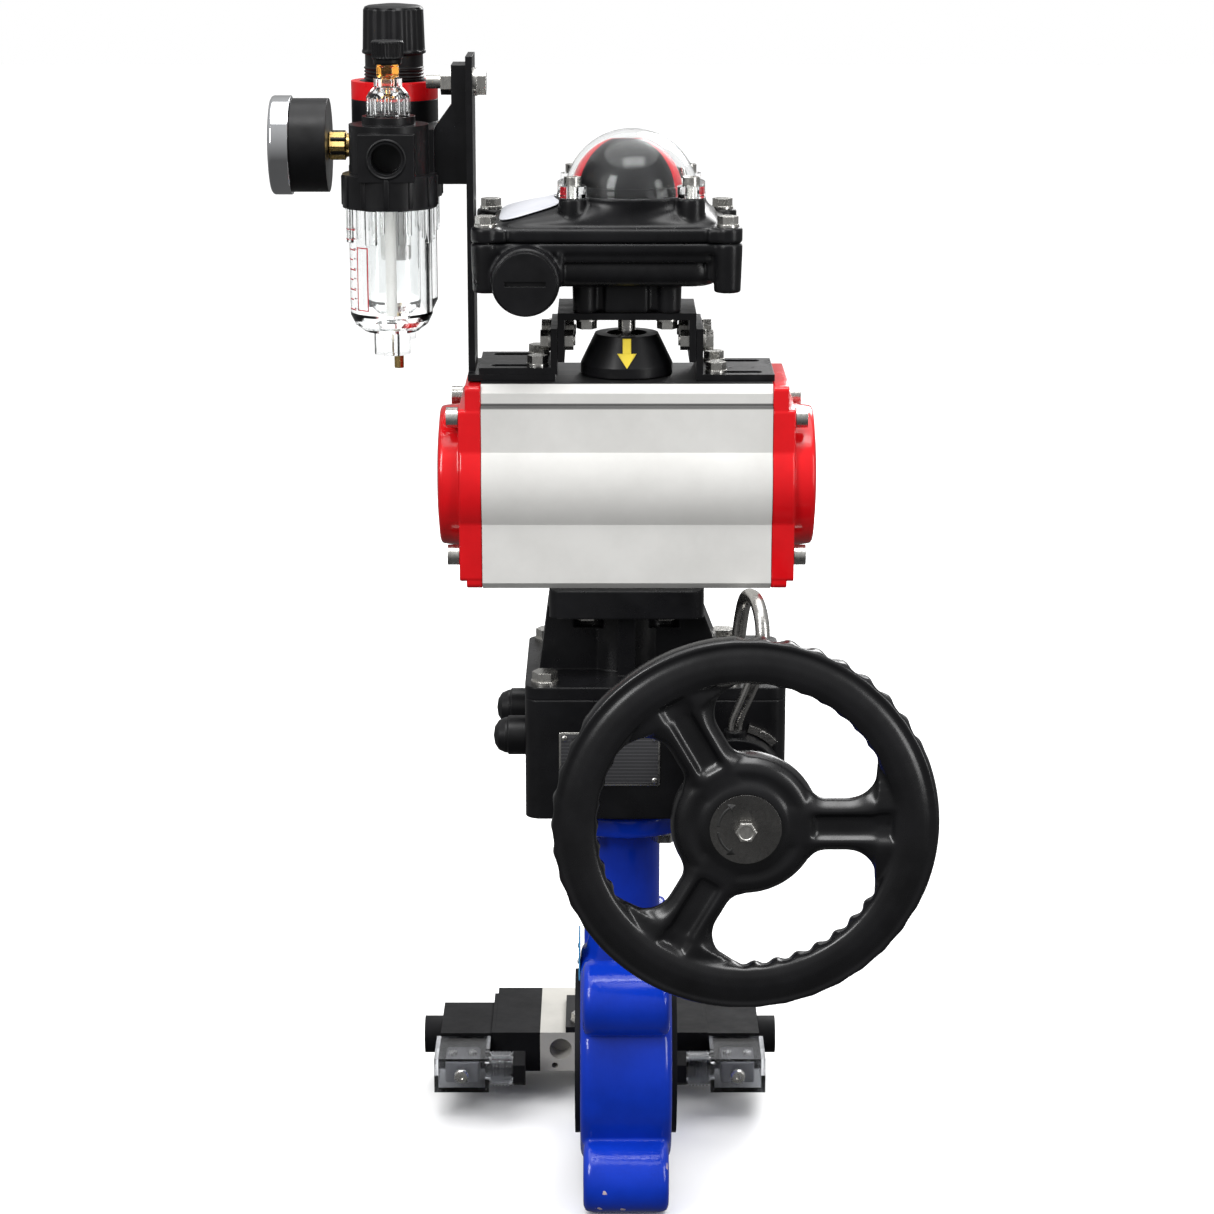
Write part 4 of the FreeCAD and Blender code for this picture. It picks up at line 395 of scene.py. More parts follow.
def machined(name, colour, shade, rough, stretch, edge=0.2, depth=0.008, stain=40):
    """Bare metal: stains, fine tool marks along one direction and eased edges."""
    r = Recipe(name)
    r.colour(r.ramp(r.noise(stain, 5), [(0.3, shade), (0.7, colour)]))
    lines = r.noise(1.0, 3, 0.6, stretch)
    r.roughness(lines, *rough)
    r.relief([(lines, 0.3, depth)], edge)
    return r.fixed(Metallic=1.0).material


def clear_plastic(name, tint, rough, ripple=0.05, ior=1.5):
    """Clear moulded plastic with a faint tint and flow ripples."""
    r = Recipe(name)
    r.colour(r.ramp(r.noise(30, 3), [(0.3, tint), (0.7, tuple(min(1.0, c * 1.02) for c in tint))]))
    r.roughness(r.noise(200, 4), *rough)
    r.relief([(r.noise(90, 2), 0.3, ripple)], 0.0)
    return r.fixed(Transmission_Weight=1.0, IOR=ior).material


def drum_finish(settings):
    """Domed indicator: a dark sector to the front and back, coloured sectors at the sides."""
    r = Recipe("indicator_drum_print")
    split = r.node("ShaderNodeSeparateXYZ")
    r.link(r.coords, split.inputs["Vector"])
    ratio = r.node("ShaderNodeMath", operation="DIVIDE")
    sides = r.node("ShaderNodeMath", operation="ABSOLUTE")
    depth = r.node("ShaderNodeMath", operation="ABSOLUTE")
    r.link(split.outputs["X"], sides.inputs[0])
    r.link(split.outputs["Y"], depth.inputs[0])
    slim = r.node("ShaderNodeMath", operation="ADD")
    r.link(depth.outputs["Value"], slim.inputs[0])
    slim.inputs[1].default_value = 0.0002
    r.link(sides.outputs["Value"], ratio.inputs[0])
    r.link(slim.outputs["Value"], ratio.inputs[1])
    dark = (0.008, 0.008, 0.009)
    colour = tuple(settings.indicator_colour)
    band = r.ramp(r.ranged(ratio.outputs["Value"], 0, 1, 0.0, 6.0),
                  [(0.0, dark), (0.262, dark), (0.266, colour), (0.9, colour), (1.0, colour)])
    r.colour(r.blend(r.ranged(r.noise(120, 4), 0.0, 0.12), band, dark))
    r.roughness(r.noise(220, 4), 0.34, 0.46)
    r.relief([(r.noise(700, 3), 0.1, 0.02)], 0.4)
    return r.fixed(Specular_IOR_Level=0.25).material


def aluminium_extrusion():
    """Hard anodised extrusion: pale grey, die lines along X, small rubs, painted shade in the groove and a
    top face painted near black as painted shade.
    """
    r = Recipe("anodised_extrusion")
    die = r.noise(1.0, 4, 0.6, (6, 900, 900))
    wear = r.noise(26, 6, 0.62)
    pale = r.ramp(wear, [(0.35, (0.62, 0.615, 0.595)), (0.62, (0.68, 0.675, 0.655))])
    rubs = r.ranged(r.cells(95, (0.25, 1, 1)), 0.35, 0.0, 0.02, 0.05)
    pale = r.blend(rubs, pale, (0.36, 0.36, 0.355))
    split = r.node("ShaderNodeSeparateXYZ")
    r.link(r.coords, split.inputs["Vector"])
    # Painted shade: the top face above these heights is painted near black, standing in for its shadow and
    # dark reflection.
    top = r.ranged(split.outputs["Z"], 0.0, 1.0, BODY_TOP * MM - 0.0004, BODY_TOP * MM - 0.0002)
    # Painted shade: a near-black band over the groove's heights stands in for the shade inside the groove.
    groove = r.ranged(split.outputs["Z"], 0.0, 1.0, GROOVE_SHADE_LOW * MM, GROOVE_SHADE_HIGH * MM)
    shade = r.ramp(groove, [(0.0, (0, 0, 0)), (0.25, (0.85, 0.85, 0.85)), (0.75, (1, 1, 1)),
                            (1.0, (0, 0, 0))])
    pale = r.blend(shade, pale, (0.05, 0.05, 0.05))
    r.colour(r.blend(top, pale, (0.012, 0.012, 0.0125)))
    r.roughness(die, 0.46, 0.58)
    r.relief([(die, 0.25, 0.02), (r.noise(2600, 2), 0.2, 0.02)], 0.35)
    return r.fixed(Metallic=0.12, Specular_IOR_Level=0.3).material


def drip_paint(settings):
    """Thick gloss paint over a casting: sags that run down, orange peel and small chips of primer."""
    r = Recipe("valve_paint")
    colour = tuple(settings.valve_colour)
    deep = tuple(c * 0.72 for c in colour)
    drift = r.ramp(r.noise(28, 5), [(0.3, deep), (0.66, colour)])
    chips = r.ramp(r.noise(150, 3, 0.4), [(0.675, (0, 0, 0)), (0.69, (1, 1, 1))])
    low = r.node("ShaderNodeSeparateXYZ")
    r.link(r.coords, low.inputs["Vector"])
    where = r.ranged(low.outputs["Z"], 1.0, 0.0, -0.036, -0.032)
    chip_mask = r.node("ShaderNodeMath", operation="MULTIPLY")
    r.link(chips, chip_mask.inputs[0])
    r.link(where, chip_mask.inputs[1])
    r.colour(r.blend(chip_mask.outputs["Value"], drift, (0.62, 0.50, 0.52)))
    r.roughness(r.noise(70, 4), 0.12, 0.24)
    sags = r.noise(1.0, 3, 0.5, (190, 190, 26))
    r.relief([(sags, 0.35, 0.9), (r.noise(300, 3), 0.25, 0.12)], 0.0)
    return r.fixed(Coat_Weight=0.12, Coat_Roughness=0.05, Specular_IOR_Level=0.3).material


def metal_print(name, colour, ground, pitch):
    """Printed plate: a ground with fine ruled lines and a satin varnish."""
    r = Recipe(name)
    lines = r.node("ShaderNodeTexWave", wave_type="BANDS", bands_direction="Z")
    lines.inputs["Scale"].default_value = pitch
    lines.inputs["Distortion"].default_value = 0.0
    r.link(r.coords, lines.inputs["Vector"])
    r.colour(r.blend(r.ranged(lines.outputs["Fac"], 0.0, 0.16, 0.86, 0.95), ground, colour))
    r.roughness(r.noise(160, 4), 0.28, 0.4)
    r.relief([(r.noise(900, 3), 0.2, 0.02)], 0.1)
    return r.material


def build_finishes(s):
    """All finishes by the name of the piece group that wears them."""
    black = tuple(s.casting_colour)
    plastic = tuple(c * 0.9 for c in black)
    light = tuple(min(1.0, c * 2.1) for c in black)
    red = tuple(s.cap_colour)
    return {
        "black_casting": painted("black_casting", light, black, (0.24, 0.38), 420, 0.05, 1.3),
        "wheel_casting": painted("wheel_casting", light, black, (0.22, 0.30), 420, 0.03, 0.0, 0.0, 0.45),
        "black_plastic": painted("black_plastic", light, plastic, (0.30, 0.44), 900, 0.05, 0.5),
        "black_paint": painted("black_paint", light, black, (0.26, 0.42), 700, 0.06, 0.35),
        "rubber": painted("rubber", light, plastic, (0.55, 0.72), 1200, 0.04, 0.5),
        "red_paint": painted("red_paint", red, tuple(c * 0.82 for c in red), (0.10, 0.2), 160, 0.10, 0.6, 0.1,
                             0.4),
        "red_plastic": painted("red_plastic", red, tuple(c * 0.8 for c in red), (0.25, 0.36), 700, 0.03, 0.4),
        "blue_paint": drip_paint(s),
        "anodised": aluminium_extrusion(),
        "stainless": machined("stainless", (0.62, 0.61, 0.59), (0.44, 0.43, 0.41), (0.18, 0.34),
                              (300, 300, 900)),
        "bright_screws": machined("bright_screws", (0.72, 0.71, 0.68), (0.50, 0.49, 0.46), (0.2, 0.36),
                                  (900, 900, 500), 0.25),
        "white_metal": machined("white_metal", (0.78, 0.76, 0.71), (0.68, 0.66, 0.61), (0.34, 0.46),
                                (120, 900, 500)),
        "brushed_plate": machined("brushed_plate", (0.20, 0.195, 0.19), (0.12, 0.118, 0.115), (0.22, 0.36),
                                  (700, 60, 700)),
        "chrome": machined("chrome", (0.80, 0.81, 0.83), (0.72, 0.73, 0.75), (0.05, 0.09), (60, 700, 700),
                           0.3, 0.004),
        "brass": machined("brass", (0.70, 0.50, 0.20), (0.42, 0.29, 0.10), (0.2, 0.34), (700, 700, 700)),
        "bronze": machined("bronze", (0.62, 0.36, 0.17), (0.45, 0.25, 0.11), (0.3, 0.44), (500, 500, 500)),
        "clear": clear_plastic("clear", (0.95, 0.96, 0.96), (0.01, 0.05)),
        "dome_clear": clear_plastic("dome_clear", (0.95, 0.96, 0.96), (0.01, 0.03), 0.02, 1.22),
        "smoked_clear": clear_plastic("smoked_clear", (0.56, 0.57, 0.59), (0.06, 0.14), 0.05, 1.35),
        "glass": clear_plastic("gauge_glass", (0.98, 0.99, 0.99), (0.0, 0.01), 0.005),
        "amber": clear_plastic("amber", (0.95, 0.42, 0.06), (0.04, 0.10)),
        "drum": drum_finish(s),
        "pointer": painted("pointer", (0.02, 0.02, 0.02), (0.01, 0.01, 0.01), (0.3, 0.4), 900, 0.02, 0.1),
        "yellow": painted("arrow_print", (0.85, 0.66, 0.06), (0.72, 0.55, 0.05), (0.35, 0.45), 900, 0.03,
                          0.1),
        "dial_white": painted("dial_face", (0.86, 0.86, 0.84), (0.80, 0.80, 0.78), (0.4, 0.5), 900, 0.01,
                              0.1),
        "red_print": painted("red_print", (0.55, 0.03, 0.04), (0.45, 0.02, 0.03), (0.4, 0.5), 900, 0.01, 0.0),
        "dark_print": painted("dark_print", (0.03, 0.03, 0.03), (0.02, 0.02, 0.02), (0.4, 0.5), 900, 0.01,
                              0.0),
        "silver_label": painted("silver_label", (0.60, 0.61, 0.65), (0.50, 0.51, 0.55), (0.3, 0.42), 700,
                                0.02, 0.0,
                                0.0, 0.5),
        "silver_block": painted("silver_block", (0.47, 0.455, 0.42), (0.40, 0.39, 0.36), (0.34, 0.46), 800,
                                0.04, 0.3,
                                0.0, 0.5),
        "matte_plastic": painted("matte_plastic", light, plastic, (0.5, 0.62), 900, 0.05, 0.4, 0.0, 0.10),
        "nameplate": metal_print("nameplate", (0.30, 0.30, 0.31), (0.035, 0.035, 0.038), 190),
        "blue_tag": painted("blue_tag", (0.10, 0.42, 0.72), (0.08, 0.34, 0.62), (0.25, 0.35), 500, 0.03, 0.2),
        "white_plastic": painted("white_plastic", (0.78, 0.78, 0.76), (0.66, 0.66, 0.63), (0.4, 0.55), 800,
                                 0.05, 0.3),
        "grey_plastic": painted("grey_plastic", (0.26, 0.26, 0.27), (0.18, 0.18, 0.19), (0.35, 0.5), 700,
                                0.05, 0.3),
    }


FINISH = {}
NODE_FINISH = {
    "black_casting": ["gearbox_housing", "gearbox_cover", "eccentric_sleeve", "handwheel"],
    "blue_paint": ["valve_body"],
    "rubber": ["seat_liner"],
    "stainless": ["valve_disc", "valve_stem", "drive_shaft", "worm_shaft", "clutch_lever", "clutch_latch",
                  "pinion", "switch_shaft"],
    "brushed_plate": ["hub_plate"],
    "bronze": ["shaft_bushes", "worm_wheel"],
    "bright_screws": ["flange_bolts", "cover_bolts", "pedestal_screws", "hub_bolt", "end_cap_screws",
                      "bracket_bolts", "lid_bolts", "dome_screws"],
    "black_plastic": ["stop_screws", "position_beacon", "limit_switches", "conduit_plug", "regulator_body",
                      "lubricator_body", "regulator_knob", "gauge_case"],
    "matte_plastic": ["solenoid_ends", "connector_glands"],
    "silver_block": ["solenoid_block"],
    "anodised": ["actuator_body"],
    "red_paint": ["end_caps"],
    "white_metal": ["piston_left", "piston_right", "spool"],
    "black_paint": ["bracket_feet", "bracket_bridge", "switch_box_base", "switch_box_lid", "frl_arm",
                    "frl_mount", "solenoid_bracket"],
    "dome_clear": ["indicator_dome"],
    "clear": ["filter_bowl", "lubricator_bowl", "sight_dome"],
    "smoked_clear": ["din_connectors"],
    "drum": ["indicator_drum"],
    "red_plastic": ["lock_ring"],
    "brass": ["adjusting_screw", "drain_cock"],
    "amber": ["lubricator_knob"],
    "chrome": ["gauge_bezel"],
    "pointer": ["gauge_needle"],
}


# ---- settings ---------------------------------------------------------------------------
class ValveLooksSettings(bpy.types.PropertyGroup):
    """Colours and sizes that a user may change before building."""

    valve_colour: FloatVectorProperty(name="Valve paint",
                                      description="Colour of the valve body's gloss paint",
                                      default=(0.004, 0.040, 0.52), size=3, subtype="COLOR", min=0, max=1)
    cap_colour: FloatVectorProperty(name="Cap paint", description="Colour of the actuator's end caps",
                                    default=(0.68, 0.006, 0.010), size=3, subtype="COLOR", min=0, max=1)
    casting_colour: FloatVectorProperty(name="Casting black", description="Colour of the black castings",
                                        default=(0.0035, 0.0035, 0.004), size=3, subtype="COLOR", min=0,
                                        max=1)
    indicator_colour: FloatVectorProperty(name="Indicator colour",
                                          description="Side sectors of the indicator drum",
                                          default=(0.55, 0.01, 0.02), size=3, subtype="COLOR", min=0, max=1)
    grip_depth: FloatProperty(name="Grip depth", description="Depth of the finger grips on the handwheel rim",
                              default=0.0013, unit="LENGTH", min=0.0, max=0.003)
    channel_depth: FloatProperty(name="Spoke channel", description="Depth of the channel down each spoke",
                                 default=0.0024, unit="LENGTH", min=0.0, max=0.004)
    floor_size: FloatProperty(name="Floor size", description="Width of the studio floor",
                              default=14.0, unit="LENGTH", min=2.0, max=40.0)


def settings_of(context):
    """The valve's own settings in the open scene."""
    return context.scene.valve_looks


# ---- shapes of the pieces ---------------------------------------------------------------
def smooth_step(x):
    """Cubic ease from 0 to 1: 3 x squared less 2 x cubed."""
    x = np.clip(x, 0, 1)
    return x * x * (3 - 2 * x)


def wheel_rim(centre, grip):
    """Rim: a closed section turned about Y, drawn in by finger grips between the spokes.

    point(s, a) = section(s) * (1 - grip share * wave(a)); wave(a) = half of 1 - cos 42a, in three sectors."""
    section = np.array([(84.5, -1.5), (84.4, 1.5), (83.6, 4.2), (81.6, 6.3), (78.5, 7.4), (72, 7.5),
                        (68, 6.6),
                        (65.2, 4.4), (63.8, 1.5), (63.5, -1.5), (64.0, -4.2), (65.8, -6.4), (69.0, -7.4),
                        (73.5, -7.5), (77.5, -6.6), (80.2, -5.2), (81.2, -5.4), (82.4, -6.0), (83.6, -5.2),
                        (84.3, -3.6), (84.5, -1.5)])
    section = stepped(section, 0.8)[:-1]
    a = np.linspace(0, TAU, 1000, endpoint=False)[None, :]
    sector = smooth_step((0.5 - 0.5 * np.cos(3 * a) - 0.25) / 0.3)
    wave = sector * (0.5 - 0.5 * np.cos(42 * a))
    off = section[:, :1] - RIM_R
    deep = section[:, 1:]
    share = grip / RIM_HALF * 1.6 * wave * smooth_step((deep + 5.5) / 4)
    radius = RIM_R + off * (1 - share)
    depth = deep * (1 - 0.6 * share)
    points = np.stack([centre[0] + radius * np.cos(a), centre[1] + depth, centre[2] + radius * np.sin(a)],
                      axis=-1)
    return points, True, True


def fillet(run, half, bore, radius, inside):
    """Half width of a bar that meets a circle through a tangent arc.

    The arc's middle is half + radius across and lies at bore + radius (outside) or bore - radius (inside)."""
    reach = bore - radius if inside else bore + radius
    middle = math.sqrt(reach ** 2 - (half + radius) ** 2)
    gap = (run - middle) if inside else (middle - run)
    arc = half + radius - np.sqrt(np.clip(radius ** 2 - np.clip(gap, 0, radius) ** 2, 0, None))
    stop = middle + radius * 0.985 if inside else middle * bore / reach
    beyond = (run > stop) if inside else (run < stop)
    edge = (half + radius) * bore / reach
    return np.where(beyond, edge, arc)


def wheel_spoke(centre, degrees, channel):
    """Spoke: a section of two ridges with a channel between, carried outwards, tangent arcs at hub and rim.

    front(u) = crest, lowered by the channel inside the ridges and by a smooth slope outside them."""
    half = 11.8
    r = np.union1d(np.linspace(12, 70, 110), [28.7, 28.8])[:, None]
    s = np.linspace(0, TAU, 72, endpoint=False)[None, :]
    width = np.maximum(fillet(r, half, HUB_R, 8, False), fillet(r, half, RIM_BORE, 13, True))
    across = width * np.sign(np.cos(s)) * np.abs(np.cos(s)) ** 0.8
    off = np.abs(across)
    front = -5.4 + 4.0 * smooth_step((off - 6.8) / np.maximum(width - 5.5, 5.5)) ** 1.1
    groove = 1.35 * channel * (1 - smooth_step((off - 3.6) / 3.0))
    groove = groove * smooth_step((r - 27) / 5) * smooth_step((73 - r) / 7)
    back = 3.8 * np.abs(np.sin(s)) ** 0.5
    depth = np.where(np.sin(s) < 0, (front + groove) * np.abs(np.sin(s)) ** 0.35, back)
    y = centre[1] - 0.6 + depth
    turn = math.radians(degrees)
    px = r * math.cos(turn) - across * math.sin(turn)
    pz = r * math.sin(turn) + across * math.cos(turn)
    return np.stack([centre[0] + px, y + 0 * px, centre[2] + pz], axis=-1), False, True


def wheel_hub(centre):
    """Hub: a dished face turned about Y, flat under the plate, raised ring outside it, boss behind."""
    profile = [(0, -6.9), (17.6, -6.9), (19.2, -6.2), (21.0, -5.2), (23.2, -5.4), (25.6, -5.9), (28.4, -5.0),
               (31.2, -2.2), (32.6, 1.6), (32.2, 4.6), (29.5, 6.4), (22, 7.4), (15.5, 10.6), (14.4, 10.8),
               (0, 10.8)]
    return turned(stepped(profile, 0.9), centre, Y, 180)


def ribbed(count, low, high, depth, power=1.0):
    """Radius wave: count flutes of a given depth between two heights."""
    def wave(radius, height, a):
        inside = smooth_step((height - low) / 0.6) * smooth_step((high - height) / 0.6)
        return radius - inside * depth * (0.5 + 0.5 * np.cos(count * a)) ** power * (radius > 1)
    return wave


def threaded(pitch, low, high, depth):
    """Radius wave: ring-like thread crests between two heights."""
    def wave(radius, height, a):
        inside = (height > low) & (height < high)
        return radius - inside * depth * (0.5 + 0.5 * np.cos(TAU * height / pitch + a)) * (radius > 1)
    return wave


def cone_radius(z):
    """Radius of the beacon's flank at height z."""
    return np.interp(z, [330.1, 334.6, 348.0], [20.8, 20.8, 14.3])


def on_beacon(across, z, proud):
    """A flat print laid round the beacon's front: the width becomes an arc at the flank's own radius."""
    radius = cone_radius(z) + proud
    angle = across / radius
    return np.stack([radius * np.sin(angle), -radius * np.cos(angle), z], axis=-1)


# ---- operators --------------------------------------------------------------------------
class VALVE_OT_finishes(bpy.types.Operator):
    """Mixes every finish and gives each carried-over part its own"""

    bl_idname = "valve_looks.finishes"
    bl_label = "Finishes"

    def execute(self, context):
        FINISH.update(build_finishes(settings_of(context)))
        for finish, nodes in NODE_FINISH.items():
            for node in nodes:
                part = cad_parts[node]
                part.data.materials.clear()
                part.data.materials.append(FINISH[finish])
        return {"FINISHED"}


class VALVE_OT_handwheel(bpy.types.Operator):
    """Cast handwheel with channelled spokes, dished hub and finger grips, its turn marks and its bolt"""

    bl_idname = "valve_looks.handwheel"
    bl_label = "Handwheel"

    def execute(self, context):
        s = settings_of(context)
        low, high = span_of("handwheel")
        centre = np.array([(low[0] + high[0]) / 2, WHEEL_Y, (low[2] + high[2]) / 2])
        sheets = [wheel_rim(centre, s.grip_depth / MM), wheel_hub(centre)]
        sheets += [wheel_spoke(centre, a, s.channel_depth / MM) for a in (0, 120, 240)]
        wheel = make_piece("handwheel_casting", sheets, FINISH["wheel_casting"], "hand_drive",
                           replaces=["handwheel"])
        cast(wheel, 0.85, 7)
        front = span_of("hub_plate")[0][1]
        marks = []
        for start, end in ((3.04, 2.2), (3.24, 4.08)):
            a = np.linspace(start, end, 24)[:, None]
            band = np.array([11.4, 12.6])[None, :]
            marks.append((np.stack([centre[0] + band * np.cos(a), front - 0.06 + 0 * a * band,
                                    centre[2] + band * np.sin(a)], axis=-1), False, False))
            tip = np.linspace(0, 1, 8)[:, None]
            way = math.copysign(0.26, end - start)
            a = end + tip * way
            band = 12 + np.array([-2.2, 2.2])[None, :] * (1 - tip)
            marks.append((np.stack([centre[0] + band * np.cos(a), front - 0.06 + 0 * band,
                                    centre[2] + band * np.sin(a)], axis=-1), False, False))
        arrows = make_piece("hub_plate_arrows", marks, FINISH["dark_print"], "hand_drive",
                            fill=False)
        thicken(arrows, 0.1)

        def six(radius, height, a):
            """Six flats on the head, whose corners lie beyond 3.8."""
            return np.where(radius > 3.8, radius / np.cos((a % (np.pi / 3)) - np.pi / 6), radius)
        bolt = [(0, 98), (3.0, 98), (3.0, 113.4), (3.9, 113.45), (4.3, 113.9), (4.3, 117.6), (3.95, 118.2),
                (3.2, 118.3), (2.9, 118.05), (0, 118.0)]
        make_piece("hub_hex_bolt", [turned(bolt, (centre[0], 0, centre[2]), -Y, 96, wave=six)],
                   FINISH["bright_screws"], "hand_drive", crease=28, replaces=["hub_bolt"])
        return {"FINISHED"}


class VALVE_OT_valve_body(bpy.types.Operator):
    """Painted valve body with soft cast edges, four lugs, neck and top flange, and its blank tag"""

    bl_idname = "valve_looks.valve_body"
    bl_label = "Valve body"

    def execute(self, context):
        ring = [(33, -21.5), (47.5, -21.5), (50.6, -20.4), (52, -17.6), (52, 17.6), (50.6, 20.4),
                (47.5, 21.5),
                (33, 21.5)]
        sheets = [turned(stepped(ring + ring[:1], 1.2)[:-1], (0, 0, 0), X, 220, wrap=True)]
        place = LUG_REACH * math.sqrt(0.5)
        lug = [(7, -20), (14.2, -20), (16.6, -19), (17.5, -16.6), (17.5, 16.6), (16.6, 19), (14.2, 20),
               (7, 20)]
        for sy in (-1, 1):
            for sz in (-1, 1):
                sheets.append(turned(stepped(lug + lug[:1], 1.2)[:-1], (0, sy * place, sz * place), X, 96,
                                     wrap=True))
        neck = [(0, 38), (19.4, 38), (19.8, 46), (18.6, 54), (16.6, 63), (16, 70), (16, 108), (17.4, 114.5),
                (21, 117.4), (33, 118), (34.7, 119), (35, 121), (35, 127), (34.6, 127.9), (0, 127.9)]
        sheets.append(turned(stepped(neck, 1.2), (0, 0, 0), Z, 160))
        foot = [(0, -36), (12.4, -36), (12.4, -51.4), (11, -53.8), (0, -53.8)]
        sheets.append(turned(stepped(foot, 1.2), (0, 0, 0), Z, 96))
        body = make_piece("valve_body_casting", sheets, FINISH["blue_paint"], "valve_frame",
                          replaces=["valve_body"])
        cast(body, 0.95, 6)
        tag = [plate(rounded_outline(13, 9.5, 1.5), 21.6, 22.3, 0.2, origin=(0, 0, TAG_Z), axes=(Y, Z, -X))]
        make_piece("valve_tag", tag, FINISH["blue_tag"], "valve_frame")
        pin = [(0, 21.6), (1.3, 21.6), (1.3, 22.5), (0.8, 22.9), (0, 23)]
        pins = [turned(pin, (0, y, TAG_Z), -X, 24) for y in (-10.5, 10.5)]
        make_piece("valve_tag_pins", pins, FINISH["bright_screws"], "valve_frame")
        return {"FINISHED"}


class VALVE_OT_end_caps(bpy.types.Operator):
    """Painted end caps: a stepped flange, a round shoulder and a drafted boss with a shallow domed face"""

    bl_idname = "valve_looks.end_caps"
    bl_label = "End caps"

    def execute(self, context):
        for side, word in ((-1, "left"), (1, "right")):
            out = X * side
            middle = np.array([0, 0, CYLINDER_Z])
            axes = (Y * side, Z, out)
            boss = [(0, 66), (33.0, 74.6), (32.6, 75.3), (31.7, 82.8), (31.3, 84.0), (30.2, 84.6), (22, 85.4),
                    (12, 85.85), (0, 86)]
            ring = [(0, 65.2), (35.5, 65.2), (35.5, 74.6), (34.8, 75.2), (0, 75.2)]
            sheets = [turned(stepped(boss, 0.9), middle, out, 180),
                      turned(stepped(ring, 1.2), middle, out, 180)]
            sheets.append(plate(rounded_outline(31.3, 46.25, 2.4), CAP_START, 72.2, 0.5, origin=middle,
                                axes=axes))
            sheets.append(plate(rounded_outline(31.6, 39.4, 2.0), CAP_START, 75.3, 0.6,
                                origin=middle - Z * 3.6, axes=axes))
            make_piece("end_cap_" + word, sheets, FINISH["red_paint"], "valve_frame",
                       replaces=["end_caps"], crease=50)
        return {"FINISHED"}


class VALVE_OT_gearbox(bpy.types.Operator):
    """Trim of the gearbox: blank nameplate with its rivets, bent lever, washer and the beacon's arrow"""

    bl_idname = "valve_looks.gearbox"
    bl_label = "Gearbox trim"

    def execute(self, context):
        middle = np.array([-7.7, 0, 160.5])
        axes = (X, Z, -Y)
        back = plate(rounded_outline(22.9, 12.6, 1.2), GEARBOX_FRONT + 0.02, GEARBOX_FRONT + 0.6, 0.15,
                     origin=middle, axes=axes)
        make_piece("nameplate_border", [back], FINISH["bright_screws"], "valve_frame")
        face = plate(rounded_outline(22.0, 11.7, 0.8), GEARBOX_FRONT + 0.5, GEARBOX_FRONT + 0.75, 0.08,
                     origin=middle, axes=axes)
        make_piece("nameplate_face", [face], FINISH["nameplate"], "valve_frame")
        rivet = [(0, GEARBOX_FRONT + 0.5), (1.4, GEARBOX_FRONT + 0.5), (1.3, GEARBOX_FRONT + 1.1),
                 (0.8, GEARBOX_FRONT + 1.5),
                 (0, GEARBOX_FRONT + 1.6)]
        rivets = [turned(rivet, middle + X * x + Z * z, -Y, 24) for x in (-20.4, 20.4) for z in (-10, 10)]
        make_piece("nameplate_rivets", rivets, FINISH["bright_screws"], "valve_frame")
        foot = np.array([48.5456, -55.0, span_of("clutch_lever")[0][2]])
        steps = np.array([(0, 0, 0), (0, 0, 5), (0, 0, 11), (4, -3.4, 21), (8.5, -6.2, 33), (11.6, -6, 46),
                          (11.6, -3.5, 57), (9.6, 4, 65.2), (7.2, 12.5, 66), (5, 20, 63.5), (3.4, 24.6, 54),
                          (2, 26, 40)])
        at = np.linspace(0, len(steps) - 1, 160)
        line = np.stack([np.interp(at, np.arange(len(steps)), steps[:, i]) for i in range(3)], axis=1)
        blur = np.hanning(27)[1:-1]
        blur = blur / blur.sum()
        padded = np.pad(line, ((12, 12), (0, 0)), mode="reflect", reflect_type="odd")
        line = np.stack([np.convolve(padded[:, i], blur, mode="valid") for i in range(3)], axis=1)
        radius = 3.25 * np.sqrt(np.clip(1 - np.clip((at - (at[-1] - 0.35)) / 0.36, 0, 0.995) ** 2, 0.002, 1))
        make_piece("clutch_lever_rod", [tube_along(foot + line, radius, 32)], FINISH["stainless"], "clutch",
                   crease=60, replaces=["clutch_lever"])
        washer = turned([(6.6, 194.05), (10.4, 194.05), (10.6, 194.5), (10.4, 196.2), (9.6, 196.6),
                         (6.6, 196.6)],
                        (46, 38, 0), Z, 64, wrap=True)
        make_piece("cover_washer", [washer], FINISH["stainless"], "valve_frame")
        u = np.linspace(-1, 1, 7)[None, :]
        v = np.linspace(0, 1, 12)[:, None]
        shaft = on_beacon(1.9 * u + 0 * v, 341.0 + 6.4 * v + 0 * u, 0.22)
        head = on_beacon(4.4 * u * v, 334.8 + 6.3 * v + 0 * u, 0.22)
        arrow = make_piece("beacon_arrow", [(shaft, False, False), (head, False, False)], FINISH["yellow"],
                           "stem_train", fill=False)
        thicken(arrow, 0.3)
        return {"FINISHED"}


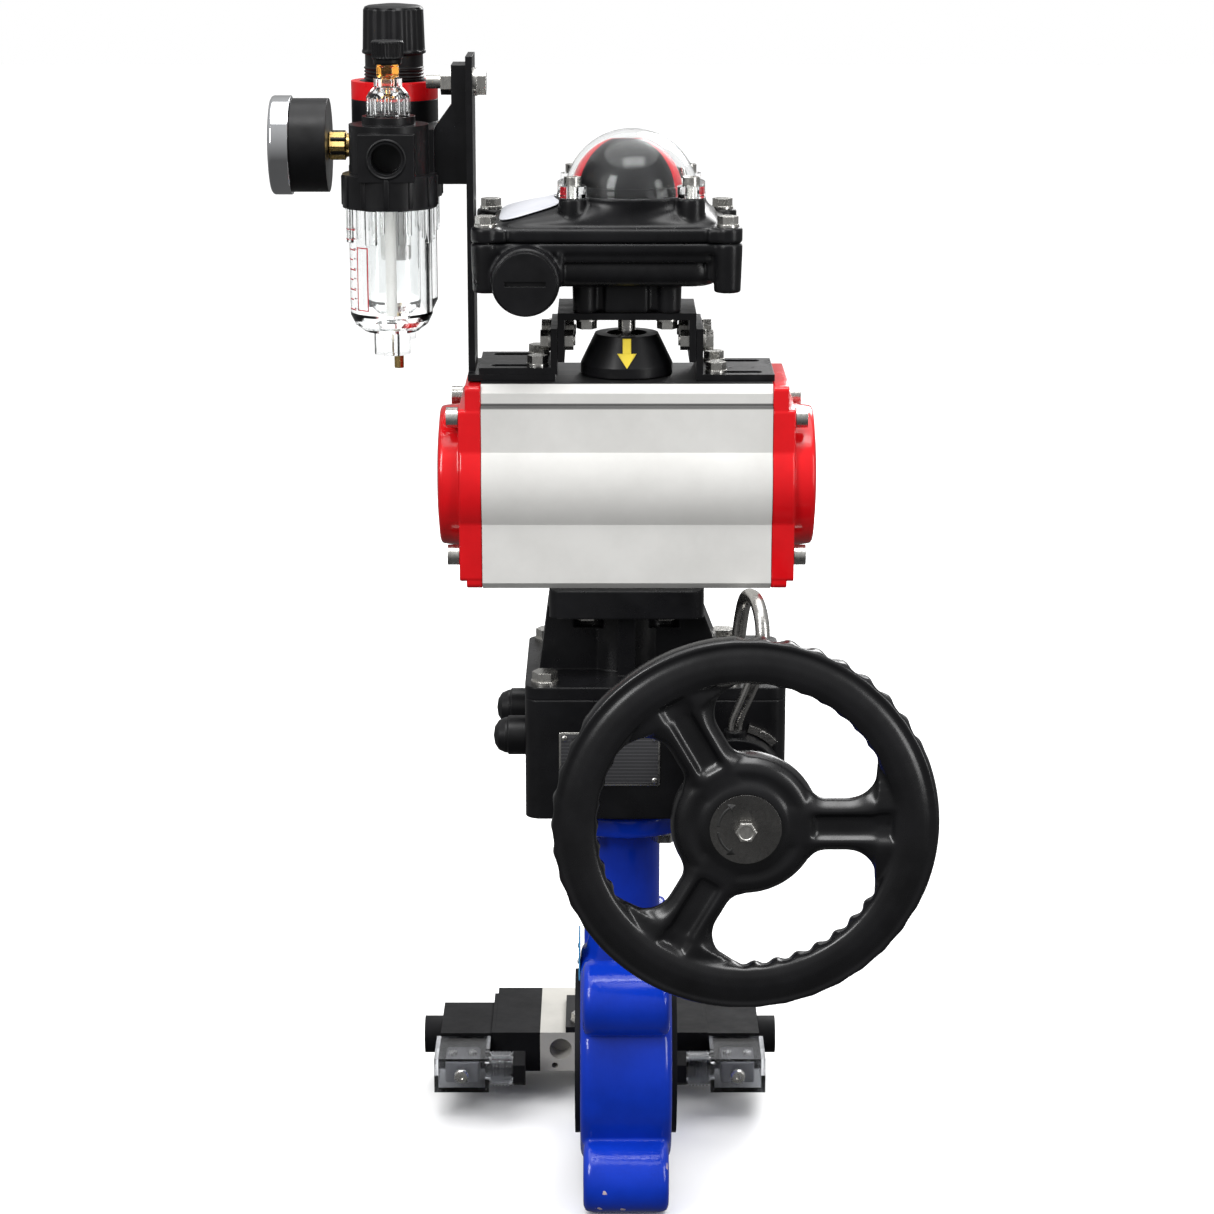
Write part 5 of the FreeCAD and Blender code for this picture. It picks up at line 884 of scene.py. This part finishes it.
class VALVE_OT_switch_box(bpy.types.Operator):
    """Switch box castings with sloped lid, corner ears, cable entry and blank label"""

    bl_idname = "valve_looks.switch_box"
    bl_label = "Switch box"

    def execute(self, context):
        a = np.linspace(0, TAU, 160, endpoint=False)
        power = 9.0

        def rect(half_x, half_y):
            return (np.abs(np.cos(a) / half_x) ** power + np.abs(np.sin(a) / half_y) ** power) ** (-1 / power)

        def ring(z, inset, roundness, radius=33.0):
            square = rect(52 - inset, 37 - inset)
            reach = (1 - roundness) * square + roundness * radius
            shift = BOX_X + DOME_SHIFT * roundness
            return np.stack([shift + reach * np.cos(a), reach * np.sin(a), z + 0 * a], axis=-1)

        def slope(t, turn):
            """Point of the lid's slope: t runs from the rim (0) to the dome seat (1)."""
            square = (np.abs(np.cos(turn) / (49 - 3 * t)) ** power
                      + np.abs(np.sin(turn) / (34 - 3 * t)) ** power)
            soft = smooth_step(t)
            reach = (1 - soft) * square ** (-1 / power) + soft * 33.0
            return np.stack([BOX_X + DOME_SHIFT * soft + reach * np.cos(turn), reach * np.sin(turn),
                             399.6 + 10.6 * t ** 0.9 + 0 * turn], axis=-1)

        rings = [ring(393.2, 0.6, 0), ring(393.8, 0, 0), ring(398.6, 0, 0), ring(399.3, 0.8, 0),
                 ring(399.6, 3, 0.0)]
        for t in np.linspace(0.1, 1, 14):
            rings.append(ring(399.6 + 10.6 * t ** 0.9, 3 + 3 * t, smooth_step(t)))
        rings += [ring(411.6, 0, 1, 33.4), ring(412.0, 0, 1, 32.8), ring(412.0, 0, 1, 28.6),
                  ring(411.6, 0, 1, 28.2),
                  ring(404, 0, 1, 28.2)]
        sheets = [skin(rings)]
        for x, y in BOX_EARS:
            ear = [(0, 393.2), (6.3, 393.2), (6.5, 394), (6.5, 399), (6.0, 400), (0, 400)]
            sheets.append(turned(stepped(ear, 0.8), (x, y, 0), Z, 48))
            inward = x - math.copysign(9, x)
            sheets.append(block((min(x, inward), y - 5, 393.4), (max(x, inward), y + 5, 399), 1, 0.6))
        for x in (-24, 28):
            for y in (-26, 26):
                post = [(0, 396), (6.4, 396), (6.2, 409), (6.0, 411.9), (0, 411.9)]
                sheets.append(turned(stepped(post, 0.9), (x, y, 0), Z, 48))
        lid = make_piece("switch_lid_casting", sheets, FINISH["black_casting"], "valve_frame",
                         replaces=["switch_box_lid"])
        cast(lid, 0.7, 4)
        tray = plate(rounded_outline(52, 37, 9, 10), 388.6, 392.9, 0.5, rows=4, origin=(BOX_X, 0, 0))
        belt = plate(rounded_outline(51, 36, 11, 10), 384.4, 389.0, 0.5, rows=4, origin=(BOX_X, 0, 0))
        belly = plate(rounded_outline(49.5, 34.5, 14, 12), 373, 386, 6.0, rows=8, origin=(BOX_X, 0, 0))
        foot = block((-24, -20, 360.6), (24, 20, 376), 3, 0.8)
        core = block((-10, -23, 360.3), (9.5, 23, 376), 1.5, 0.6)
        sheets = [tray, belt, belly, foot, core]
        for x in (-18.8, 18.8):
            for y in (-18.3, 18.3):
                stud = [(0, 360.05), (5.0, 360.05), (5.3, 360.6), (5.6, 376), (0, 376)]
                sheets.append(turned(stepped(stud, 0.9), (x, y, 0), Z, 48))
        for x, y in BOX_EARS:
            ear = [(0, 371.2), (5.4, 371.2), (5.9, 371.8), (6.5, 389), (6.5, 392.4), (6.3, 392.9), (0, 392.9)]
            sheets.append(turned(stepped(ear, 0.9), (x, y, 0), Z, 48))
            inward = x - math.copysign(9, x)
            sheets.append(block((min(x, inward), y - 4, 388.5), (max(x, inward), y + 4, 392.8), 1, 0.5))
            sheets.append(block((min(x, inward), y - 1.5, 376), (max(x, inward), y + 1.5, 391), 0.7, 0.5))
        entry = [(0, 8), (15.1, 8), (15.1, 44.6), (14.5, 45.9), (0, 46)]
        sheets.append(turned(stepped(entry, 1.0), (-44.5, 0, 377), -Y, 80))
        sheets.append(block((-31, -37.6, 375.5), (-28, -30, 389), 1.0, 0.5))
        base = make_piece("switch_base_casting", sheets, FINISH["black_casting"], "valve_frame",
                          replaces=["switch_box_base"])
        cast(base, 0.7, 3)
        turn = np.linspace(0, TAU, 96, endpoint=False)[None, :]
        share = np.array([1.0, 0.98, 0.92, 0.8, 0.65, 0.5, 0.35, 0.2, 0.08, 0.0])[:, None]
        up = np.sign(np.cos(turn)) * np.abs(np.cos(turn)) ** 0.5 * share
        across = np.sign(np.sin(turn)) * np.abs(np.sin(turn)) ** 0.5 * share
        t = 0.47 + 0.39 * up
        way = np.pi + 0.60 * across
        spot = slope(t, way)
        lift = np.cross(slope(t + 0.01, way) - slope(t - 0.01, way),
                        slope(t, way + 0.01) - slope(t, way - 0.01))
        lift = lift / np.linalg.norm(lift, axis=-1, keepdims=True)
        lift = lift * np.sign(lift[..., 2:])
        label = make_piece("lid_label", [(spot + 0.7 * lift, False, True)], FINISH["silver_label"],
                           "valve_frame",
                           fill=False)
        thicken(label, 0.3)
        return {"FINISHED"}


class VALVE_OT_air_unit(bpy.types.Operator):
    """Knobs, needle, port ring, siphon tube, filter element, level marks and collar ribs of the air unit"""

    bl_idname = "valve_looks.air_unit"
    bl_label = "Air unit"

    def execute(self, context):
        x = UNIT_X
        knob = [(0, 459.6), (13.4, 459.6), (13.6, 460), (13.6, 464.9), (13.0, 465.3), (13.0, 470.6),
                (14.2, 471.2),
                (14.4, 472.2), (14.1, 473.2), (13.6, 490.4), (12.8, 491.6), (11.2, 492.2), (8.0, 492.5),
                (4, 492.9), (0, 493)]

        def wave(radius, height, a):
            radius = threaded(1.5, 460.2, 464.8, 0.7)(radius, height, a)
            return ribbed(12, 472.0, 491.4, 0.75, 2)(radius, height, a)
        make_piece("regulator_knob_ribbed",
                   [turned(stepped(knob, 0.35), (x, REGULATOR_Y, 0), Z, 192, wave=wave)],
                   FINISH["black_plastic"], "regulator_knob", replaces=["regulator_knob"])
        cap = [(0, 469.3), (5.9, 469.3), (6.2, 469.8), (6.3, 471.4), (6.9, 472.0), (7.2, 478.6), (6.8, 479.3),
               (6.2, 479.5),
               (0, 479.5)]
        make_piece("oil_cap",
                   [turned(stepped(cap, 0.35), (x, LUBRICATOR_Y, 0), Z, 192,
                           wave=ribbed(32, 472.0, 479.0, 0.35))],
                   FINISH["black_plastic"], "oil_needle", replaces=["lubricator_knob"])
        needle = [(0, 452), (1, 454), (1, 458.4), (2.9, 459.2), (2.9, 463.5), (4.6, 463.8), (5.1, 464.3),
                  (5.1, 468.2),
                  (4.8, 468.6), (4.8, 469.2), (0, 469.2)]
        make_piece("oil_needle_amber",
                   [turned(stepped(needle, 0.5), (x, LUBRICATOR_Y, 0), Z, 96,
                           wave=ribbed(8, 464.2, 468.6, 0.35))],
                   FINISH["amber"], "oil_needle")
        port = [(6.7, 41.5), (8.9, 41.5), (8.9, 41.95), (8.5, 42.3), (8.1, 42.4), (7.8, 42.2), (7.5, 41.8),
                (7.0, 41.7)]
        make_piece("port_ring",
                   [turned(stepped(port + port[:1], 0.3)[:-1], (x, 0, PORT_Z), -Y, 72, wrap=True)],
                   FINISH["black_plastic"], "valve_frame")
        siphon = [(1.5, 358), (2.4, 358), (2.4, 409), (1.5, 409)]
        make_piece("siphon_tube", [turned(siphon, (x, LUBRICATOR_Y, 0), Z, 32, wrap=True)],
                   FINISH["white_plastic"],
                   "valve_frame")
        element = [(0, 379), (8.4, 379), (8.8, 380), (8.8, 404), (6.0, 405), (6.0, 409), (0, 409)]
        make_piece("filter_element",
                   [turned(stepped(element, 0.8), (x, REGULATOR_Y, 0), Z, 72,
                           wave=ribbed(36, 380, 404, 0.4))],
                   FINISH["white_plastic"], "valve_frame")
        marks = []

        def on_bowl(a, h):
            """Point of the front bowl's wall at angle a and height h."""
            return np.stack([x + PRINT_R * np.cos(a) + 0 * h, LUBRICATOR_Y + PRINT_R * np.sin(a) + 0 * h,
                             h + 0 * a], axis=-1)
        for i in range(9):
            a = np.linspace(3.42, 3.42 + (0.34 if i % 2 == 0 else 0.22), 6)[None, :]
            marks.append((on_bowl(a, 363 + 4.4 * i + np.array([-0.28, 0.28])[:, None]), False, False))
        for start, end, low, high in ((3.84, 3.87, 363, 391), (4.17, 4.20, 363, 391),
                                      (3.87, 4.17, 363, 363.5),
                                      (3.87, 4.17, 390.5, 391)):
            a = np.linspace(start, end, 6)[None, :]
            marks.append((on_bowl(a, np.linspace(low, high, 10)[:, None]), False, False))
        scale = make_piece("bowl_scale", marks, FINISH["red_print"], "valve_frame", fill=False)
        thicken(scale, 0.1)
        collars = []
        for y in (LUBRICATOR_Y, REGULATOR_Y):
            for i in range(12):
                turn = TAU * i / 12
                rib = block((20.4, -1.1, 408.3), (21.3, 1.1, 421.2), 0.4, 0.3)[0]
                px = x + rib[..., 0] * math.cos(turn) - rib[..., 1] * math.sin(turn)
                py = y + rib[..., 0] * math.sin(turn) + rib[..., 1] * math.cos(turn)
                collars.append((np.stack([px, py, rib[..., 2]], axis=-1), False, True))
        make_piece("collar_ribs", collars, FINISH["black_plastic"], "valve_frame")
        return {"FINISHED"}


class VALVE_OT_gauge(bpy.types.Operator):
    """Gauge dial with its ticks and numbers, the glass, the chrome rim and the brass stem"""

    bl_idname = "valve_looks.gauge"
    bl_label = "Gauge"

    def execute(self, context):
        centre = np.array([0, REGULATOR_Y, PORT_Z])
        dial = turned([(0, 152.3), (19.3, 152.3), (19.3, DIAL_FACE), (0, DIAL_FACE)], centre, -X, 96)
        make_piece("gauge_dial", [dial], FINISH["dial_white"], "valve_frame")
        glass = turned([(0, 157.7), (19.1, 157.7), (19.1, 158.9), (0, 159.0)], centre, -X, 96)
        make_piece("gauge_glass", [glass], FINISH["glass"], "valve_frame")

        def six(radius, height, a):
            """Six flats on the nut, whose corners lie beyond 5.5."""
            return np.where(radius > 5.5, radius / np.cos((a % (np.pi / 3)) - np.pi / 6), radius)
        stem = [(0, 118), (5.05, 118), (5.05, 122), (4.95, 124), (5.4, 126.4), (5.7, 126.6), (6.1, 127.1),
                (6.1, 133.9),
                (5.8, 134.3), (0, 134.4)]
        ring = [(19.3, 151.2), (22.1, 151.2), (22.2, 151.5), (22.2, 158.8), (21.8, 159.7), (20.8, 160.3),
                (19.8, 160.45),
                (19.3, 160.1), (19.1, 159.2)]
        make_piece("gauge_rim", [turned(stepped(ring + ring[:1], 0.5)[:-1], centre, -X, 160, wrap=True)],
                   FINISH["chrome"], "valve_frame", replaces=["gauge_bezel"])
        make_piece("gauge_stem", [turned(stem, centre, -X, 96, wave=six)], FINISH["brass"], "valve_frame",
                   crease=25)
        ticks = []
        for i in range(51):
            turn = math.radians(DIAL_START + DIAL_SWEEP * i / 50)
            inner = 14.2 if i % 5 == 0 else 15.6
            half = 0.28 if i % 5 == 0 else 0.12
            r = np.array([inner, 17.4])[:, None]
            w = np.array([-half, half])[None, :]
            along = np.array([0, -math.sin(turn), math.cos(turn)])
            side = np.array([0, math.cos(turn), math.sin(turn)])
            ticks.append((centre - X * (DIAL_FACE + 0.1) + r[..., None] * along + w[..., None] * side, False,
                          False))
        marks = make_piece("gauge_ticks", ticks, FINISH["dark_print"], "valve_frame", fill=False)
        thicken(marks, 0.1)
        for i in range(6):
            turn = math.radians(DIAL_START + DIAL_SWEEP * i / 5)
            text = bpy.data.curves.new("dial_number_%d" % (2 * i), "FONT")
            text.body = str(2 * i)
            text.size = 3.6 * MM
            text.align_x = "CENTER"
            text.align_y = "CENTER"
            holder = bpy.data.objects.new("holder", text)
            bpy.context.scene.collection.objects.link(holder)
            bpy.context.view_layer.update()
            mesh = bpy.data.meshes.new_from_object(holder)
            bpy.data.objects.remove(holder)
            count = len(mesh.vertices)
            flat = np.zeros(count * 3, np.float32)
            mesh.vertices.foreach_get("co", flat)
            flat = flat.reshape(-1, 3)
            spot = (centre - X * (DIAL_FACE + 0.12) + 11.6 * np.array([0, -math.sin(turn),
                                                                       math.cos(turn)])) * MM
            placed = spot + flat[:, :1] * -Y + flat[:, 1:2] * Z
            mesh.vertices.foreach_set("co", placed.astype(np.float32).ravel())
            mesh.update()
            number = bpy.data.objects.new("dial_number_%d" % (2 * i), mesh)
            bpy.context.scene.collection.objects.link(number)
            mesh.materials.clear()
            mesh.materials.append(FINISH["dark_print"])
            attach(number, "valve_frame")
        return {"FINISHED"}


class VALVE_OT_solenoid(bpy.types.Operator):
    """Ribbed cable glands, terminal blocks and screws of the solenoid valve's plug sockets"""

    bl_idname = "valve_looks.solenoid"
    bl_label = "Solenoid trim"

    def execute(self, context):
        blocks = []
        screws = []
        for side in (-1, 1):
            x = SOLENOID_X + side * SOCKET_REACH
            blocks.append(block((x - 8.5, 66, -45), (x + 8.5, 84, -34.5), 1.5, 0.6))
            for dx in (-5, 5):
                screws.append(turned([(0, -34.6), (2.2, -34.6), (2.2, -32.6), (0, -32.4)], (x + dx, 74, 0), Z,
                                     24))
            screws.append(turned([(0, 60), (1.6, 60), (1.6, 57.9), (3.6, 57.9), (3.6, 56.4), (3.0, 55.7),
                                  (1.2, 55.6),
                                  (1.0, 56.5), (0, 56.5)], (x, 0, -38), Y, 36))
        low, high = span_of("din_connectors")
        ribs = []
        thread = [(8.25, 0.0)]
        for i in range(6):
            thread += [(8.3, 1.7 * i + 0.3), (8.9, 1.7 * i + 0.6), (8.9, 1.7 * i + 1.2), (8.3, 1.7 * i + 1.5)]
        thread += [(8.25, 10.4)]
        for side, x in ((1, low[0] + SOCKET_HALF), (-1, high[0] - SOCKET_HALF)):
            ribs.append(turned(thread, (x + side * 14.6, low[1] + 10, low[2] + 9), X * side, 64, wrap=True))
        make_piece("gland_ribs", ribs, FINISH["smoked_clear"], "valve_frame")
        make_piece("terminal_blocks", blocks, FINISH["grey_plastic"], "valve_frame")
        make_piece("terminal_screws", screws, FINISH["bright_screws"], "valve_frame")
        return {"FINISHED"}


class VALVE_OT_stage(bpy.types.Operator):
    """Pale studio: floor, soft lights and the camera"""

    bl_idname = "valve_looks.stage"
    bl_label = "Studio"

    def execute(self, context):
        scene = context.scene
        half = settings_of(context).floor_size / 2
        level = CAD_BOX[0][2] - 0.0005
        u = np.linspace(-half, half, 2)
        gx, gy = np.meshgrid(u, u, indexing="ij")
        grid = np.stack([gx, gy, np.full((2, 2), level)], axis=-1).reshape(-1, 3)
        mesh = bpy.data.meshes.new("studio_floor")
        mesh.from_pydata(grid.tolist(), [], [(0, 2, 3, 1)])
        floor = bpy.data.objects.new("studio_floor", mesh)
        scene.collection.objects.link(floor)
        r = Recipe("studio_floor")
        r.colour(r.ramp(r.noise(3, 2), [(0.3, (0.88, 0.88, 0.88)), (0.7, (0.89, 0.89, 0.89))]))
        r.roughness(r.noise(9, 3), 0.6, 0.7)
        mesh.materials.append(r.material)
        floor.visible_diffuse = False
        floor.visible_glossy = False
        world = bpy.data.worlds.new("studio")
        scene.world = world
        world.use_nodes = True
        nodes = world.node_tree.nodes
        links = world.node_tree.links
        rays = nodes.new("ShaderNodeLightPath")
        seen = nodes.new("ShaderNodeMath")
        seen.operation = "MAXIMUM"
        links.new(rays.outputs["Is Camera Ray"], seen.inputs[0])
        links.new(rays.outputs["Is Transmission Ray"], seen.inputs[1])
        direction = nodes.new("ShaderNodeTexCoord")
        split = nodes.new("ShaderNodeSeparateXYZ")
        links.new(direction.outputs["Generated"], split.inputs["Vector"])
        graded = nodes.new("ShaderNodeMapRange")
        graded.inputs["From Min"].default_value = -0.5
        graded.inputs["From Max"].default_value = 0.7
        graded.inputs["To Min"].default_value = 0.10
        graded.inputs["To Max"].default_value = 0.55
        links.new(split.outputs["Z"], graded.inputs["Value"])
        strength = nodes.new("ShaderNodeMix")
        links.new(seen.outputs["Value"], strength.inputs[0])
        links.new(graded.outputs["Result"], strength.inputs[2])
        strength.inputs[3].default_value = 1.0
        links.new(strength.outputs[0], nodes["Background"].inputs["Strength"])
        nodes["Background"].inputs["Color"].default_value = (1.0, 1.0, 1.0, 1)
        sun = bpy.data.lights.new("sky", "SUN")
        sun.energy = 2.6
        sun.angle = math.radians(70)
        scene.collection.objects.link(bpy.data.objects.new("sky", sun))
        for name, place, aim, size, power in (
                ("key", (-1.2, -1.5, 1.3), (0, 0, 0.2), (0.5, 1.1), 26),
                ("fill", (1.5, -1.2, 0.7), (0, 0, 0.2), (0.35, 1.4), 15),
                ("top", (0.1, -0.6, 2.0), (0, 0, 0.3), (1.0, 0.5), 12),
                ("back", (0.6, 1.6, 1.2), (0, 0, 0.25), (0.8, 1.0), 22)):
            lamp = bpy.data.lights.new(name, "AREA")
            lamp.shape = "RECTANGLE"
            lamp.size = size[0]
            lamp.size_y = size[1]
            lamp.energy = power
            light = bpy.data.objects.new(name, lamp)
            scene.collection.objects.link(light)
            way = np.array(aim, float) - np.array(place, float)
            way = way / np.linalg.norm(way)
            light.location = place
            light.rotation_euler = (math.acos(-way[2]), 0, math.atan2(way[1], way[0]) - math.pi / 2)
        camera = bpy.data.cameras.new("camera")
        camera.sensor_width = 36
        camera.lens = 90.44
        camera.clip_end = 50
        eye = bpy.data.objects.new("camera", camera)
        scene.collection.objects.link(eye)
        eye.location = (-0.00889, -1.36647, 0.5706)
        eye.rotation_euler = (math.radians(75.6), 0, 0)
        scene.camera = eye
        scene.view_settings.view_transform = "Standard"
        return {"FINISHED"}


class VALVE_PT_looks(bpy.types.Panel):
    """Sizes, colours and building steps of the valve"""

    bl_idname = "VALVE_PT_looks"
    bl_label = "Actuated Valve"
    bl_space_type = "VIEW_3D"
    bl_region_type = "UI"
    bl_category = "Valve"

    def draw(self, context):
        s = settings_of(context)
        for key in ("valve_colour", "cap_colour", "casting_colour", "indicator_colour", "grip_depth",
                    "channel_depth", "floor_size"):
            self.layout.prop(s, key)
        for step in STEPS:
            self.layout.operator(step.bl_idname)


STEPS = (VALVE_OT_finishes, VALVE_OT_valve_body, VALVE_OT_handwheel, VALVE_OT_end_caps, VALVE_OT_gearbox,
         VALVE_OT_switch_box, VALVE_OT_air_unit, VALVE_OT_gauge, VALVE_OT_solenoid, VALVE_OT_stage)
CLASSES = (ValveLooksSettings, *STEPS, VALVE_PT_looks)


def register():
    for item in CLASSES:
        bpy.utils.register_class(item)
    bpy.types.Scene.valve_looks = PointerProperty(type=ValveLooksSettings)


def unregister():
    del bpy.types.Scene.valve_looks
    for item in reversed(CLASSES):
        bpy.utils.unregister_class(item)


def main():
    register()
    bpy.ops.valve_looks.finishes()
    bpy.ops.valve_looks.valve_body()
    bpy.ops.valve_looks.handwheel()
    bpy.ops.valve_looks.end_caps()
    bpy.ops.valve_looks.gearbox()
    bpy.ops.valve_looks.switch_box()
    bpy.ops.valve_looks.air_unit()
    bpy.ops.valve_looks.gauge()
    bpy.ops.valve_looks.solenoid()
    bpy.ops.valve_looks.stage()


if __name__ == "__main__":
    main()
